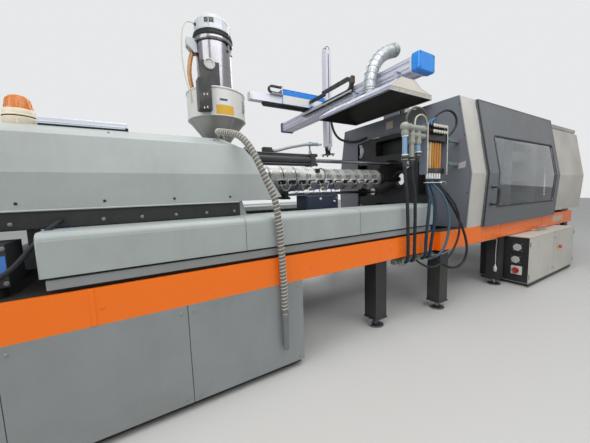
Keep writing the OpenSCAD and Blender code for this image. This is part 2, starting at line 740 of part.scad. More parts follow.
// Bow handle: a bar on two posts with round corners, cut off flush with the door's face
module bow_handle() difference() {
    y = crease_y + door_out - 20 + grip_out - grip_r;
    bend = 35;
    union() {
        rod_z(grip_x, y, [grip_low + bend, grip_low + grip_h - bend], grip_r);
        for (s = [0, 1]) translate([grip_x, y - bend, grip_low + bend + s * (grip_h - 2 * bend)]) mirror([0, 0, 1 - s])
            rotate([90, 0, 90]) rotate_extrude(angle = 90) translate([bend, 0]) circle(grip_r, $fn = 24);
        for (z = [grip_low, grip_low + grip_h]) rod_y(grip_x, [clamp_y, y - bend], z, grip_r);
    }
    creased([grip_x - 50, grip_x + 50], [door_low, guard_top], door_out, door_d + 60);
}
module front_door() color("#4a4f55") at_origin() front() door_leaf();
module front_window() color("#9aa6b0", 0.5) at_origin() front() window_pane();
module front_handle() color("#17181a") at_origin() front() bow_handle();
module rear_door() color("#4a4f55") at_origin() { door_leaf(); bow_handle(); }
module rear_window() color("#9aa6b0", 0.5) at_origin() window_pane();

// Power cabinet under the clamp bed
cab_front = clamp_y + cab_out;
cab = [cab_x, cab_x + cab_len];
knob_y = cab_front - 145;
knob_z = 232;
stop_at = cab_x + stop_x;
module power_cabinet() color("#b9bab2") at_origin() front() {
    door_w = cab_len / 2;
    difference() {
        box(cab, [cab_front - cab_d, cab_front], [cab_low, cab_top]);
        for (i = [0:1]) difference() {
            box([cab[0] + i * door_w + 12, cab[0] + (i + 1) * door_w - 12], [cab_front - 4, cab_front + 1], [cab_low + 14, cab_top - 14]);
            box([cab[0] + i * door_w + 18, cab[0] + (i + 1) * door_w - 18], [cab_front - 5, cab_front + 2], [cab_low + 20, cab_top - 20]);
        }
    }
    box([cab[0] + 30, cab[1] - 30], [cab_front - cab_d + 30, cab_front - 30], [0, cab_low]);
    for (x = [cab[0] + 120, cab[1] - 170])
        box([x, x + 50], [clamp_y - fold_d + 2, clamp_y - 6], [cab_top, rail_low]);
}
module cabinet_fittings() color("#c9c9c4") at_origin() front() {
    for (g = [[138, 576], [154, 392]]) rod_x([cab[0] - 14, cab[0]], cab_front - g[0], g[1], 46);
    for (g = [[138, 576], [154, 392]]) rod_x([cab[0] - 26, cab[0] - 14], cab_front - g[0], g[1], 36);
    difference() {
        translate([cab[0] - 6, knob_y, knob_z]) along_x([0, 6]) rounded([-60, 72], [-57, 68], 8);
        rod_x([cab[0] - 7, cab[0] + 1], knob_y, knob_z, 8 + fit);
    }
    translate([stop_at, 0, stop_z]) along_y([cab_front, cab_front + 3]) rounded([-36, 36], [-36, 36], 8);
    difference() {
        rod_y(stop_at, [cab_front + 3, cab_front + 15], stop_z, 19);
        rod_y(stop_at, [cab_front + 3, cab_front + 16], stop_z, 10 + fit);
    }
}
module isolator_knob() color("#c8231c") at_origin() front() {
    x = cab[0] - 6;
    rod_x([x - 10, x - 0.2], knob_y, knob_z, 30);
    rod_x([x - 1, x + 5], knob_y, knob_z, 8);
    translate([x - knob_out, knob_y, knob_z]) along_x([0, knob_out - 9]) rounded([-9, 9], [-30, 30], 8);
}
module estop_button() color("#d5261c") at_origin() front() {
    tip = cab_front + 3 + stop_out;
    rod_y(stop_at, [tip - 24, tip - 14], stop_z, 10);
    rod_y(stop_at, [tip - 15, tip - 9], stop_z, stop_r);
    rod_y(stop_at, [tip - 9, tip], stop_z, stop_r - 5);
}

// Injection unit
module feed_profile() {
    low = carriage_top;
    half = feed_w / 2;
    translate([-half, low]) square([feed_w, feed_top - low]);
    translate([-rod_y - rod_r - 20, axis_z - rod_r - 20]) square(2 * [rod_y + rod_r + 20, rod_r + 20]);
    polygon([[-430, low], [430, low], [430, low + 90], [half, low + 330], [-half, low + 330], [-430, low + 90]]);
    for (s = [[-1, pull_z], [1, -pull_z]])
        translate([s[0] > 0 ? half - 50 : -pull_y - 75, axis_z + s[1] - 75]) square([pull_y + 125 - half, 150]);
}
skirt_y = hood_y - hood_bulge - 20;
module injection_carriage() color("#8d9296") at_origin() {
    difference() {
        union() {
            box([carriage_x, carriage_x + carriage_len], [-carriage_w / 2, carriage_w / 2], [carriage_z, carriage_top]);
            along_x([feed_back, feed_front]) feed_profile();
        }
        rod_x([feed_back - 1, feed_front + 1], 0, axis_z, barrel_r + fit);
        rod_z(throat_x, 0, [axis_z, feed_top + 1], throat_r);
        for (x = [-1, 1]) translate([throat_x + x * 500 - 160, 0, carriage_z - 1]) rod_z(0, 0, [0, carriage_t + 2], 60);
    }
    for (y = [-rod_y, rod_y]) rod_x([feed_back - rod_len, feed_back + 1], y, axis_z, rod_r);
    for (x = [carriage_x + 200, carriage_x + 1100]) {
        both_sides() box([x, x + 60], [415, 475], [carriage_top - 1, hood_low - 1]);
        box([x, x + 60], [-skirt_y, skirt_y], [hood_low - 40, hood_low]);
    }
    both_sides() box([hood_left + 10, hood_right], [skirt_y - 1, skirt_y + 6], [hood_low - skirt_h, hood_low]);
}
module barrel() color("#9da1a4") at_origin() difference() {
    tip = -nozzle_gap;
    front = -barrel_gap;
    translate([0, 0, axis_z]) rotate([0, 90, 0]) rotate_extrude() polygon([
        [0, feed_back + 10], [barrel_r, feed_back + 10], [barrel_r, front - 30], [barrel_r - 12, front],
        [86, front], [86, front + 60], [nozzle_r + 14, front + 150], [nozzle_r, front + 170],
        [nozzle_r, tip - 30], [14, tip], [0, tip],
    ]);
    rod_x([feed_back, front - 20], 0, axis_z, bore_r + fit);
    translate([front - 21, 0, axis_z]) rotate([0, 90, 0]) cylinder(h = 110, r1 = bore_r, r2 = 9);
    rod_x([front, tip + 1], 0, axis_z, 8);
    rod_z(throat_x, 0, [axis_z, axis_z + barrel_r + 1], throat_r);
}
// Insulated heater jackets with their terminal boxes along the lower near side
module heater_covers() color("#c9cdd0") at_origin() {
    start = feed_front + 30;
    front = -barrel_gap - 60;
    wide = 5;
    step = 176;
    narrow_x = start + wide * step;
    count = 8;
    narrow = (front - narrow_x) / count;
    for (i = [0:wide - 1]) jacket([start + i * step, start + (i + 1) * step - 8], jacket_r);
    for (i = [0:count - 1]) jacket([narrow_x + i * narrow, narrow_x + (i + 1) * narrow - 8], jacket_front_r);
    for (i = [0:5]) translate([narrow_x + i * 200 + 60, 0, axis_z]) rotate([35, 0, 0]) translate([0, -jacket_front_r - 40, 0])
        along_y([0, 45]) rounded([-45, 45], [-62, 62], 14);
}
module jacket(x, r) difference() {
    rod_x(x, 0, axis_z, r);
    rod_x([x[0] - 1, x[1] + 1], 0, axis_z, barrel_r + seat);
}
module screw() color("#b8bcbf") at_origin() translate([0, 0, axis_z]) rotate([0, 90, 0]) {
    back = drive_x + 30;
    tip = -barrel_gap - 26;
    pitch = 2 * bore_r;
    flights = floor((tip - 160 - throat_x) / pitch);
    rotate_extrude() polygon(concat(
        [[0, back], [shank_r, back], [shank_r, feed_back], [bore_r, feed_back]],
        [[bore_r, throat_x - 90], [bore_r - 14, throat_x - 80]],
        [for (i = [1:flights], p = [[-14, -12], [0, -8], [0, 8], [-14, 12]]) [bore_r + p[0], throat_x - 80 + i * pitch + p[1]]],
        [[bore_r - 14, tip - 130], [bore_r, tip - 120], [bore_r, tip - 70], [bore_r - 16, tip - 60], [bore_r - 10, tip - 50],
            [12, tip], [0, tip]]));
}
module screw_drive() color("#3c4146") at_origin() difference() {
    z = 200;
    union() {
        along_x([drive_x, drive_x + drive_t]) translate([0, axis_z]) rounded([-400, 400], [-z, z], 40);
        rod_x([drive_x - motor_len, drive_x + 1], 0, axis_z, motor_r);
        rod_x([drive_x - motor_len - 30, drive_x - motor_len], 0, axis_z, motor_r - 40);
    }
    for (y = [-rod_y, rod_y]) rod_x([drive_x - 1, drive_x + drive_t + 1], y, axis_z, rod_r + fit);
    rod_x([drive_x + 29, drive_x + drive_t + 1], 0, axis_z, shank_r + fit);
}
pull_front = feed_front + pull_len;
module pull_places() for (s = [[-1, 1], [1, -1]]) translate([0, s[0] * pull_y, axis_z + s[1] * pull_z]) children();
module carriage_cylinders() color("#3d4247") at_origin() pull_places() difference() {
    union() {
        rod_x([feed_front, pull_front - 60], 0, 0, pull_body_r);
        for (x = [feed_front, pull_front - 62]) box([x, x + 62], [-67, 67], [-67, 67]);
        for (y = [-52, 52], z = [-52, 52]) rod_x([feed_front, pull_front + 18], y, z, 9);
    }
    rod_x([feed_front + 60, pull_front - 61], 0, 0, pull_body_r - 12);
    rod_x([pull_front - 62, pull_front + 1], 0, 0, pull_r + fit);
}
module carriage_rods() color("#d0d3d6") at_origin() pull_places() {
    rod_x([feed_front + 80, -fixed_t], 0, 0, pull_r);
    rod_x([feed_front + 70, feed_front + 130], 0, 0, pull_body_r - 12 - fit);
    rod_x([-fixed_t - 34, -fixed_t], 0, 0, 56);
}

// Hood over the injection unit
function hood_points(t) = let (low = hood_y - hood_bulge - t, b = hood_y - t, f = hood_flat, top = hood_ridge - t) [
    [low, hood_low - (t > 0 ? 1 : 0)], [b, hood_crease], [low, hood_edge - t / 3], [f, top],
    [-f, top], [-low, hood_edge - t / 3], [-b, hood_crease], [-low, hood_low - (t > 0 ? 1 : 0)],
];
module injection_hood() color("#c3c9c4") at_origin() {
    nose = [[hood_right - 1, hood_low], [hood_right - 1, hood_edge - 4], [hood_right + nose_len * 0.14, hood_edge - 18],
        [hood_right + nose_len * 0.64, hood_crease], [hood_right + nose_len, hood_low + 22],
        [hood_right + nose_len * 0.6, hood_low]];
    difference() {
        along_x([hood_left, hood_right]) polygon(hood_points(0));
        along_x([hood_left + hood_t, hood_right + 1]) polygon(hood_points(hood_t));
        box([hood_right - hood_cut, hood_right + 1], [-hood_flat, hood_flat], [hood_edge, hood_ridge + 1]);
    }
    both_sides() intersection() {
        along_x([hood_right - 2, hood_right + nose_len + 1]) difference() {
            polygon(hood_points(0));
            polygon(hood_points(hood_t));
            translate([-hood_y, hood_low - 9]) square([hood_y, 900]);
        }
        along_y([hood_flat, hood_y + 1]) polygon(nose);
    }
    low = hood_y - hood_bulge - 4;
    for (x = [carriage_x + 200, carriage_x + 1100]) box([x, x + 60], [-low, low], [hood_low, hood_low + 22]);
}
module beacon() color("#e6a24a") at_origin() translate([hood_left + 408, -hood_flat + 90, hood_ridge]) {
    rotate_extrude() polygon([[0, 0], [88, 0], [88, 60], [80, 66], [80, 128], [74, 132], [74, 190], [60, 222], [34, 240], [0, 246]]);
}

// Hopper and loader
module about_throat(z) translate([throat_x, 0, z]) children();
cone_z = hopper_z - hopper_cone;
module hopper() color("#b5b8b6") at_origin() {
    t = hopper_t;
    neck = throat_r + 18;
    about_throat(0) rotate_extrude($fn = 96) polygon([
        [hopper_r, hopper_top], [hopper_r, hopper_z], [hopper_r - 11, hopper_z - 2], [hopper_r / 2, cone_z + hopper_cone * 0.4],
        [neck, cone_z], [neck, feed_top + 41], [throat_r, feed_top + 41], [throat_r, cone_z + 6],
        [hopper_r / 2 - t, cone_z + hopper_cone * 0.4 + t], [hopper_r - 11 - t, hopper_z], [hopper_r - t, hopper_z + 2],
        [hopper_r - t, hopper_top - t], [0, hopper_top - t], [0, hopper_top],
    ]);
    difference() {
        translate([0, 0, feed_top]) box([throat_x - 110, throat_x + 110], [-110, 110], [0, 42]);
        rod_z(throat_x, 0, [feed_top - 1, feed_top + 43], throat_r);
    }
    translate([0, 0, feed_top]) box([throat_x + 110, throat_x + 240], [-40, 40], [14, 22]);
    rod_y(throat_x - 12, [-140, -85], cone_z + 49, 22);
}
module loader_vessel() color("#c9ccce") at_origin() about_throat(hopper_top) {
    rotate_extrude($fn = 96) polygon([
        [0, 0], [vessel_r + 14, 0], [vessel_r + 14, 12], [vessel_r, 12], [vessel_r, vessel_h], [vessel_r + 16, vessel_h],
        [vessel_r + 16, vessel_h + ring_h * 0.4], [vessel_r + 22, vessel_h + ring_h * 0.44],
        [vessel_r + 22, vessel_h + ring_h * 0.7], [vessel_r + 14, vessel_h + ring_h * 0.74],
        [vessel_r + 14, vessel_h + ring_h], [0, vessel_h + ring_h], [0, vessel_h + ring_h - 4], [vessel_r - 3, vessel_h + ring_h - 4],
        [vessel_r - 3, 4], [0, 4],
    ]);
    for (a = [-20, 160]) rotate(a) translate([vessel_r - 1, -16, vessel_h - 70]) cube([18, 32, 120]);
}
module loader_head() color("#c8ccd0") at_origin() about_throat(vessel_top + ring_h) difference() {
    r = vessel_r + 8;
    cylinder(h = head_h, r = r, $fn = 96);
    // The cap is cut off on a slope, and its rim is left round
    translate([0, 0, head_h * 0.62]) rotate([0, 26, 0]) translate([-2 * r, -2 * r, head_h * 0.2]) cube([4 * r, 4 * r, r * 2]);
}
// Bracket with a sight lens on the vessel, and the control box that hangs below it
module loader_box() color("#1c1d1f") at_origin() difference() {
    union() {
        box([throat_x - 180, throat_x - 10], [-vessel_r - 42, -vessel_r + 40], [hopper_top + 12 + seat, hopper_top + 250]);
        box([throat_x - 240, throat_x - 125], [-hopper_r - 30, -hopper_r + 76], [hopper_top - 236, hopper_top + 40]);
        box([throat_x - 180, throat_x - 125], [-hopper_r + 10, -vessel_r - 20], [hopper_top + 12 + seat, hopper_top + 40]);
    }
    rod_z(throat_x, 0, [hopper_top - 300, hopper_top + seat], hopper_r + seat, $fn = 96);
    rod_z(throat_x, 0, [hopper_top - 1, hopper_top + 300], vessel_r + seat, $fn = 96);
}
// Suction hose: out of the hopper's neck, over the hood's edge and straight down
hose_r = 25;
hose_route = [
    [-3060, -140, 1990], [-3066, -200, 1994], [-3100, -300, 2012], [-3150, -420, 2024], [-3195, -540, 2010],
    [-3215, -650, 1985], [-3200, -755, 1960], [-3165, -860, 1932], [-3138, -950, 1890], [-3102, -1030, 1805],
    [-3063, -1085, 1685], [-3014, -1112, 1546], [-2965, -1130, 1416], [-2942, -1136, 1228], [-2930, -1136, 1032],
    [-2924, -1136, 858], [-2918, -1136, 697], [-2918, -1136, 547],
];
module suction_hose() color("#8a8684") at_origin() tube(smooth(hose_route, 2), hose_r, 10);
module suction_lance() color("#c5c9cc") at_origin() {
    end = hose_route[len(hose_route) - 1];
    difference() {
        rod_z(end[0], end[1], [end[2] - 320, end[2]], hose_r - 3);
        rod_z(end[0], end[1], [end[2] - 321, end[2] - 20], hose_r - 6);
    }
    difference() {
        rod_z(end[0], end[1], [end[2] - 70, end[2] - 24], hose_r + 4);
        rod_z(end[0], end[1], [end[2] - 71, end[2] - 23], hose_r - 4);
    }
}
// Heater terminal box on its post
module terminal_box() color("#2a3040") at_origin() {
    x = [-2245, -1807];
    along_x(x) translate([-350, 1326]) rounded([-110, 110], [-104, 105], 12);
    box([x[0] + 170, x[0] + 250], [-way_y - 40, -way_y + 40], [bed_top, 1224]);
}

// Fume hood: a flared sheet-metal cap, hung from the robot's cross beam
function fume_side(t) = let (l = fume_right - fume_len, m = fume_x, h = fume_z + 50) [
    [l + t, fume_z - (t > 0 ? 1 : 0)], [l + t, h - t / 2], [m - fume_top / 2 + t, fume_z + fume_h - t],
    [m + fume_top / 2 - t, fume_z + fume_h - t], [m + fume_top * 0.9 - t, h + 62 - t],
    [fume_right - t, h - t / 2], [fume_right - t, fume_z - (t > 0 ? 1 : 0)],
];
function fume_end(t) = let (a = fume_w / 2 - t, h = fume_z + 50) [
    [-a, fume_z - 2], [-a, h - t / 2], [-a + 66, fume_z + fume_h + 2], [a - 66, fume_z + fume_h + 2], [a, h - t / 2], [a, fume_z - 2],
];
module fume_form(t) intersection() {
    along_y([-fume_w / 2 + t, fume_w / 2 - t]) polygon(fume_side(t));
    along_x([fume_right - fume_len - 1, fume_right + 1]) polygon(fume_end(t));
}
module fume_hood() color("#a9adb0") at_origin() {
    top = fume_z + fume_h;
    difference() {
        fume_form(0);
        fume_form(fume_t);
        rod_z(fume_x, 0, [top - 10, top + 1], duct_r - duct_t);
        // The flared cap sits on an upright rim that is a frame of its own
        box([fume_right - fume_len - 1, fume_right + 1], [-fume_w, fume_w], [fume_z + 47, fume_z + 47 + seat]);
    }
    for (y = [-1, 1]) box([fume_x + 60, fume_x + 64], [y * 400 - 20, y * 400 + 20], [top, beam_z + 40]);
    for (y = [-1, 1]) box([fume_x + 60, beam_left], [y * 400 - 20, y * 400 + 20], [beam_z + 36, beam_z + 40]);
}
module fume_duct() color("#b4b8bb") at_origin() {
    low = fume_z + fume_h;
    start = beam_z - 50;
    tip_x = fume_x + duct_bend * (1 - cos(duct_turn));
    tip_z = start + duct_bend * sin(duct_turn);
    rod_tube([low, start - seat], duct_r);
    rod_tube([low, low + 24], duct_r + 14);
    rod_tube([low + 60, low + 80], duct_r + 6);
    translate([fume_x + duct_bend, 0, start]) rotate([90, 0, 0]) rotate([0, 0, 180 - duct_turn])
        rotate_extrude(angle = duct_turn) translate([duct_bend, 0]) difference() {
            circle(duct_r);
            circle(duct_r - duct_t);
        }
    translate([tip_x, 0, tip_z]) rotate([0, duct_turn, 0]) difference() {
        union() {
            translate([0, 0, seat]) cylinder(h = 170 - seat, r = duct_r);
            translate([0, 0, 80]) cylinder(h = 18, r = duct_r + 7);
        }
        translate([0, 0, -1]) cylinder(h = 172, r = duct_r - duct_t);
    }
}
module rod_tube(z, r) difference() {
    rod_z(fume_x, 0, z, r);
    rod_z(fume_x, 0, [z[0] - 1, z[1] + 1], duct_r - duct_t);
}

// Flow regulator: frame, valves, amber tubes, pipes and hoses
flow_right = flow_left + flow_w;
flow_back = flow_y - flow_d;
flow_top = flow_z + flow_h;
tube_pitch = (flow_w - 100) / tubes;
function tube_x(i) = flow_left + 46 + (i + 0.5) * tube_pitch;
module manifold_frame() color("#59606e") at_origin() front() {
    box([flow_left, flow_left + 4], [flow_back, flow_y], [flow_z, flow_top]);
    box([flow_right - 4, flow_right], [flow_back, flow_y], [flow_z, flow_top]);
    box([flow_left, flow_right], [flow_back, flow_back + 4], [flow_z, flow_top]);
    for (z = [flow_z + 120, flow_z + 400]) {
        box([flow_right - 4, -hoop_len - portal_t], [flow_back - 40, flow_back], [z, z + 40]);
        box([flow_left + 60, flow_right], [flow_back - 40, flow_back + 1], [z, z + 40]);
    }
}
module manifold_valves() color("#c4c6c4") at_origin() front() {
    x = [flow_left + 4, flow_right - 4];
    for (z = [flow_top - 44, flow_top - 104]) {
        box(x, [flow_back + 4, flow_back + 54], [z, z + 44]);
        for (i = [0:tubes - 1]) {
            rod_y(tube_x(i), [flow_back + 50, flow_y + 34], z + 22, tube_r);
            rod_y(tube_x(i), [flow_y - 10, flow_y + 24], z + 22, tube_r + 5);
        }
    }
    box(x, [flow_back + 4, flow_back + 50], [flow_top - 165, flow_top - 110]);
    box(x, [flow_back + 4, flow_back + 60], [flow_z + 20, flow_z + 70]);
    for (i = [0:tubes - 1]) {
        rod_z(tube_x(i), flow_y - 45, [flow_top - 170, flow_top - 60], tube_r + 3);
        rod_z(tube_x(i), flow_y - 45, [flow_z - 50, flow_z + 70], tube_r - 1);
        rod_z(tube_x(i), flow_y - 45, [flow_z - 20, flow_z + 10], tube_r + 4);
    }
}
module flow_tubes() color("#c98b3a", 0.7) at_origin() front()
    for (i = [0:tubes - 1]) rod_z(tube_x(i), flow_y - 45, [flow_z + 70, flow_top - 170], tube_r);
pipe_y = flow_back + 50;
supply_x = [flow_left - 316, flow_left - 206, flow_left - 107];
module supply_pipes() color("#8b9088") at_origin() front() {
    z = flow_top - 82;
    reach = [246, 172, 120];
    rod_x([supply_x[0] + 10, flow_left], pipe_y, z + 24, pipe_r);
    rod_x([supply_x[1], flow_left], pipe_y, z - 50, pipe_r - 6);
    for (i = [0:2]) {
        top = z + 24 - (i > 0 ? 74 : 0);
        rod_z(supply_x[i], pipe_y, [top - reach[i] - 60, top], i == 0 ? 22 : 26);
        translate([supply_x[i], pipe_y, top]) sphere(pipe_r + (i == 0 ? 14 : 2));
        rod_z(supply_x[i], pipe_y, [top - 90, top], pipe_r);
        rod_z(supply_x[i], pipe_y, [top - reach[i] - 84, top - reach[i] - 52], pipe_r);
    }
    // Water header under the bed, which the drop hoses run to
    box([-1520, -860], [header_y - 60, header_y], [frame_low - 110, frame_low - 50]);
    for (x = [-1490, -930]) box([x, x + 40], [header_y - 50, header_y - 10], [frame_low - 50, frame_low]);
    for (x = header_x) rod_y(x, [header_y - 1, header_y + 60], header_z, 16);
    rod_z(top_hoses[0][1][0][0], pipe_y, [z + 24, top_hoses[0][1][0][2]], top_hoses[0][0]);
}
header_y = inj_y - fold_d - 20;
header_z = frame_low - 80;
header_x = [-1440, -1340, -1250, -1160, -1080, -1000, -920];
// Radius and route of each hose on the flow regulator: two loops on its top and the hoses that drop from it
top_hoses = [
    [13, [[-1440, -1110, 2140], [-1438, -1110, 2190], [-1400, -1118, 2250], [-1330, -1126, 2290], [-1240, -1128, 2292],
        [-1160, -1118, 2268], [-1102, -1100, 2215], [-1084, -1090, 2150]]],
    [12, [[-1000, -1090, 2150], [-990, -1096, 2205], [-910, -1115, 2280], [-790, -1130, 2330], [-670, -1136, 2325],
        [-590, -1136, 2270], [-580, -1132, 2190], [-640, -1126, 2110], [-705, -1118, 2066], [-775, -1115, 2060]]],
];
drop_hoses = [
    [17, [[-1081, -1105, 1569], [-1084, -1115, 1500], [-1110, -1160, 1380], [-1140, -1175, 1230], [-1160, -1172, 1060],
        [-1165, -1165, 900], [-1162, -1160, 780], [-1160, -1145, 715], [-1160, -1107, 687]]],
    [17, [[-1035, -1105, 1569], [-1032, -1118, 1500], [-1040, -1170, 1380], [-1055, -1195, 1230], [-1075, -1195, 1060],
        [-1085, -1180, 900], [-1085, -1165, 780], [-1081, -1148, 712], [-1080, -1107, 687]]],
    [14, [[-990, -1105, 1569], [-984, -1120, 1510], [-930, -1190, 1400], [-880, -1225, 1260], [-850, -1232, 1120],
        [-850, -1230, 980], [-880, -1222, 850], [-935, -1205, 750], [-985, -1165, 695], [-1000, -1107, 687]]],
    [14, [[-944, -1105, 1569], [-938, -1120, 1515], [-880, -1190, 1400], [-790, -1235, 1250], [-690, -1245, 1120],
        [-590, -1245, 990], [-510, -1245, 850], [-480, -1245, 710], [-530, -1240, 590], [-650, -1225, 530],
        [-780, -1200, 545], [-870, -1165, 610], [-915, -1130, 670], [-920, -1107, 687]]],
    [11, [[-898, -1105, 1569], [-890, -1122, 1515], [-840, -1200, 1400], [-780, -1262, 1260], [-735, -1282, 1120],
        [-735, -1285, 980], [-775, -1280, 850], [-880, -1270, 720], [-1020, -1255, 640], [-1150, -1220, 610],
        [-1230, -1165, 645], [-1250, -1107, 687]]],
    [17, [[-1466, -1110, 1762], [-1466, -1112, 1700], [-1468, -1125, 1560], [-1465, -1142, 1400], [-1458, -1148, 1200],
        [-1450, -1148, 1000], [-1443, -1146, 820], [-1440, -1140, 720], [-1440, -1107, 687]]],
    [17, [[-1356, -1110, 1762], [-1356, -1112, 1700], [-1352, -1128, 1560], [-1346, -1148, 1400], [-1342, -1152, 1200],
        [-1340, -1150, 1000], [-1340, -1148, 820], [-1340, -1142, 720], [-1340, -1107, 687]]],
];
module manifold_hoses() color("#2f3237") at_origin()
    for (h = concat(top_hoses, drop_hoses)) tube(smooth(h[1], 2), h[0]);
cable_r = 4;
cable_route = [
    [-870, -1047, 690], [-867, -1080, 690], [-850, -1116, 692], [-800, -1145, 700], [-660, -1150, 728], [-520, -1155, 738], [-340, -1155, 734],
    [-160, -1155, 739], [20, -1155, 735], [200, -1155, 739], [380, -1155, 735], [500, -1150, 730], [565, -1130, 690],
    [590, -1115, 610], [596, -1110, 500], [600, -1110, 400], [600, -1110, 330],
];
module sensor_cable() color("#d6d6cf") at_origin() tube(smooth(cable_route, 2), cable_r);
module sensor_plug() color("#e6e6e2") at_origin() {
    end = cable_route[len(cable_route) - 1];
    translate(end) rotate_extrude() polygon([[0, 0], [7, 0], [11, -26], [20, -32], [20, -84], [15, -88], [15, -104], [0, -104]]);
}

// Take-out robot
module robot_riser() color("#a4a8ad") at_origin() {
    x = riser_x;
    foot_z = bed_top + platen_h;
    box([x[0] - 14, x[1] + 30], [-riser_w - 60, riser_w + 60], [foot_z, foot_z + 24]);
    difference() {
        box(x, [-riser_w, riser_w], [foot_z + 23, beam_top - 20]);
        box([x[0] + 14, x[1] - 14], [-riser_w + 14, riser_w - 14], [foot_z + 20, beam_top - 34]);
    }
    box([beam_right, x[0] + 1], [-riser_w - 50, riser_w + 50], [beam_z, beam_top - 20]);
    box([beam_left + 20, x[0] + 1], [-riser_w, riser_w], [beam_z - 24, beam_z]);
    for (y = [-riser_w, riser_w - 14]) along_y([y, y + 14])
        polygon([[x[0] + 1, beam_z - 23], [beam_left + 60, beam_z - 23], [x[0] + 1, beam_z - 300]]);
}
rail_x = [beam_left + 45, beam_right - 75];
module robot_beam() color("#c9ccd8") at_origin() {
    y = [-beam_near, -beam_near + beam_len];
    along_y(y) translate([beam_left, beam_z]) difference() {
        square([beam_d, beam_h]);
        translate([beam_t, beam_t]) square([beam_d - 2 * beam_t, beam_h - 2 * beam_t]);
        for (s = [0, 1], z = [beam_h * 0.3, beam_h * 0.7])
            translate([s * (beam_d - 6), z - 5]) square([6, 10]);
    }
    for (x = rail_x) along_y([y[0] + 30, y[1] - 30]) translate([x, beam_top])
        polygon([[0, 0], [30, 0], [30, 4], [26, 8], [30, 11], [30, 14], [0, 14], [0, 11], [4, 8], [0, 4]]);
    for (e = [[y[0] - 26, y[0]], [y[1], y[1] + 26]]) along_y(e) translate([beam_left, beam_z])
        rounded([0, beam_d], [0, beam_h], 26);
}
chain_x = beam_left - 46;
// Energy chain of the cross beam: a row of links in a tray, a bend and the upper strand
module cable_chain() color("#1b1c1e") at_origin() {
    y = [600, take_y - 600];
    bend = 100;
    low = beam_z + 120;
    pitch = 52;
    n = floor((y[1] - y[0]) / pitch);
    box([chain_x - 34, beam_left], [y[0] - bend - 40, y[1] + 700], [low - 36, low - 30]);
    for (i = [0:n - 1], s = [-1, 1]) translate([chain_x, y[0] + i * pitch, low + bend + s * bend]) {
        box([-30, 30], [2, pitch - 2], [-26, 26]);
        box([-24, 24], [-6, 3], [-20, 20]);
    }
    translate([chain_x - 30, y[0], low + bend]) rotate([90, 0, 90]) rotate([0, 0, 90])
        rotate_extrude(angle = 180) translate([bend - 26, 0]) square([52, 60]);
    for (z = [low - 30, low - 26]) box([chain_x - 24, chain_x + 24], [y[0], y[1] - 20], [z, z + 5]);
}
kick_z = beam_top + 14 + 20;
kick_front = -kick_gap;
yoke = 220;
module robot_carriage() color("#2f7fc4") at_origin() {
    side = kick_w / 2 + slide_gap;
    x = [beam_left - 10, beam_right + 10];
    cover = [-1262, kick_front - yoke - 22];
    top = kick_z + kick_tall;
    difference() {
        box(x, [take_y - 200, take_y + 200], [beam_top + 14 + slide_gap, kick_z - slide_gap]);
        for (s = [-1, 1]) box([x[0] + 60, x[1] - 60], [take_y + s * 150 - 30, take_y + s * 150 + 30], [beam_top, kick_z + 1]);
    }
    for (s = [-1, 1]) {
        for (r = rail_x) box([r - 12, r - slide_gap], [take_y + s * 150 - 45, take_y + s * 150 + 45], [beam_top + 1, kick_z - 4]);
        box([cover[0], cover[1]], [take_y + s * (side + 10) - 10, take_y + s * (side + 10) + 10], [kick_z - slide_gap - 1, top + 20]);
    }
    difference() {
        along_x(cover) translate([take_y, 0]) polygon([[-side - 20, top + 19], [side + 20, top + 19], [side + 20, top + 105],
            [side - 4, top + 128], [-side + 4, top + 128], [-side - 20, top + 105]]);
        along_x([cover[0] + 8, cover[1] - 8]) translate([take_y, 0]) polygon([[-side - 12, top + 27], [side + 12, top + 27],
            [side + 12, top + 101], [side - 8, top + 120], [-side + 8, top + 120], [-side - 12, top + 101]]);
    }
    box([x[0], x[1]], [take_y - side - 20, take_y + side + 20], [kick_z - slide_gap - 6, kick_z - slide_gap]);
}
module kick_beam() color("#d5d7dc") at_origin() translate([0, take_y, kick_z]) {
    back = kick_front - kick_len;
    half = kick_w / 2;
    difference() {
        box([back, kick_front - yoke + 1], [-half, half], [0, kick_tall]);
        box([back + 40, kick_front - yoke - 30], [-half + 8, half - 8], [8, kick_tall - 8]);
    }
    box([back - 20, back], [-half, half], [0, kick_tall]);
    difference() {
        box([kick_front - yoke, kick_front], [-120, 120], [-40, 250]);
        box([arm_x - arm_w / 2 - slide_gap, arm_x + arm_w / 2 + slide_gap], [-arm_w / 2 - slide_gap, arm_w / 2 + slide_gap], [-41, 251]);
    }
}
pin_z = arm_z - 55;
module robot_arm() color("#cfd2d8") at_origin() translate([arm_x, take_y, 0]) {
    half = arm_w / 2;
    difference() {
        box([-half, half], [-half, half], [arm_z, arm_z + arm_len]);
        box([-half + 8, half - 8], [-half + 8, half - 8], [arm_z + 12, arm_z + arm_len - 12]);
        for (s = [-1, 1]) box([-10, 10], [s * half - 5, s * half + 5], [arm_z + 60, arm_z + arm_len - 60]);
    }
    for (s = [-1, 1]) difference() {
        union() {
            box([-34, 34], [s * 62 - 8, s * 62 + 8], [pin_z, arm_z + 1]);
            rod_y(0, [s * 62 - 8, s * 62 + 8], pin_z, 34);
        }
        rod_y(0, [s * 62 - 9, s * 62 + 9], pin_z, 12 + fit);
    }
}
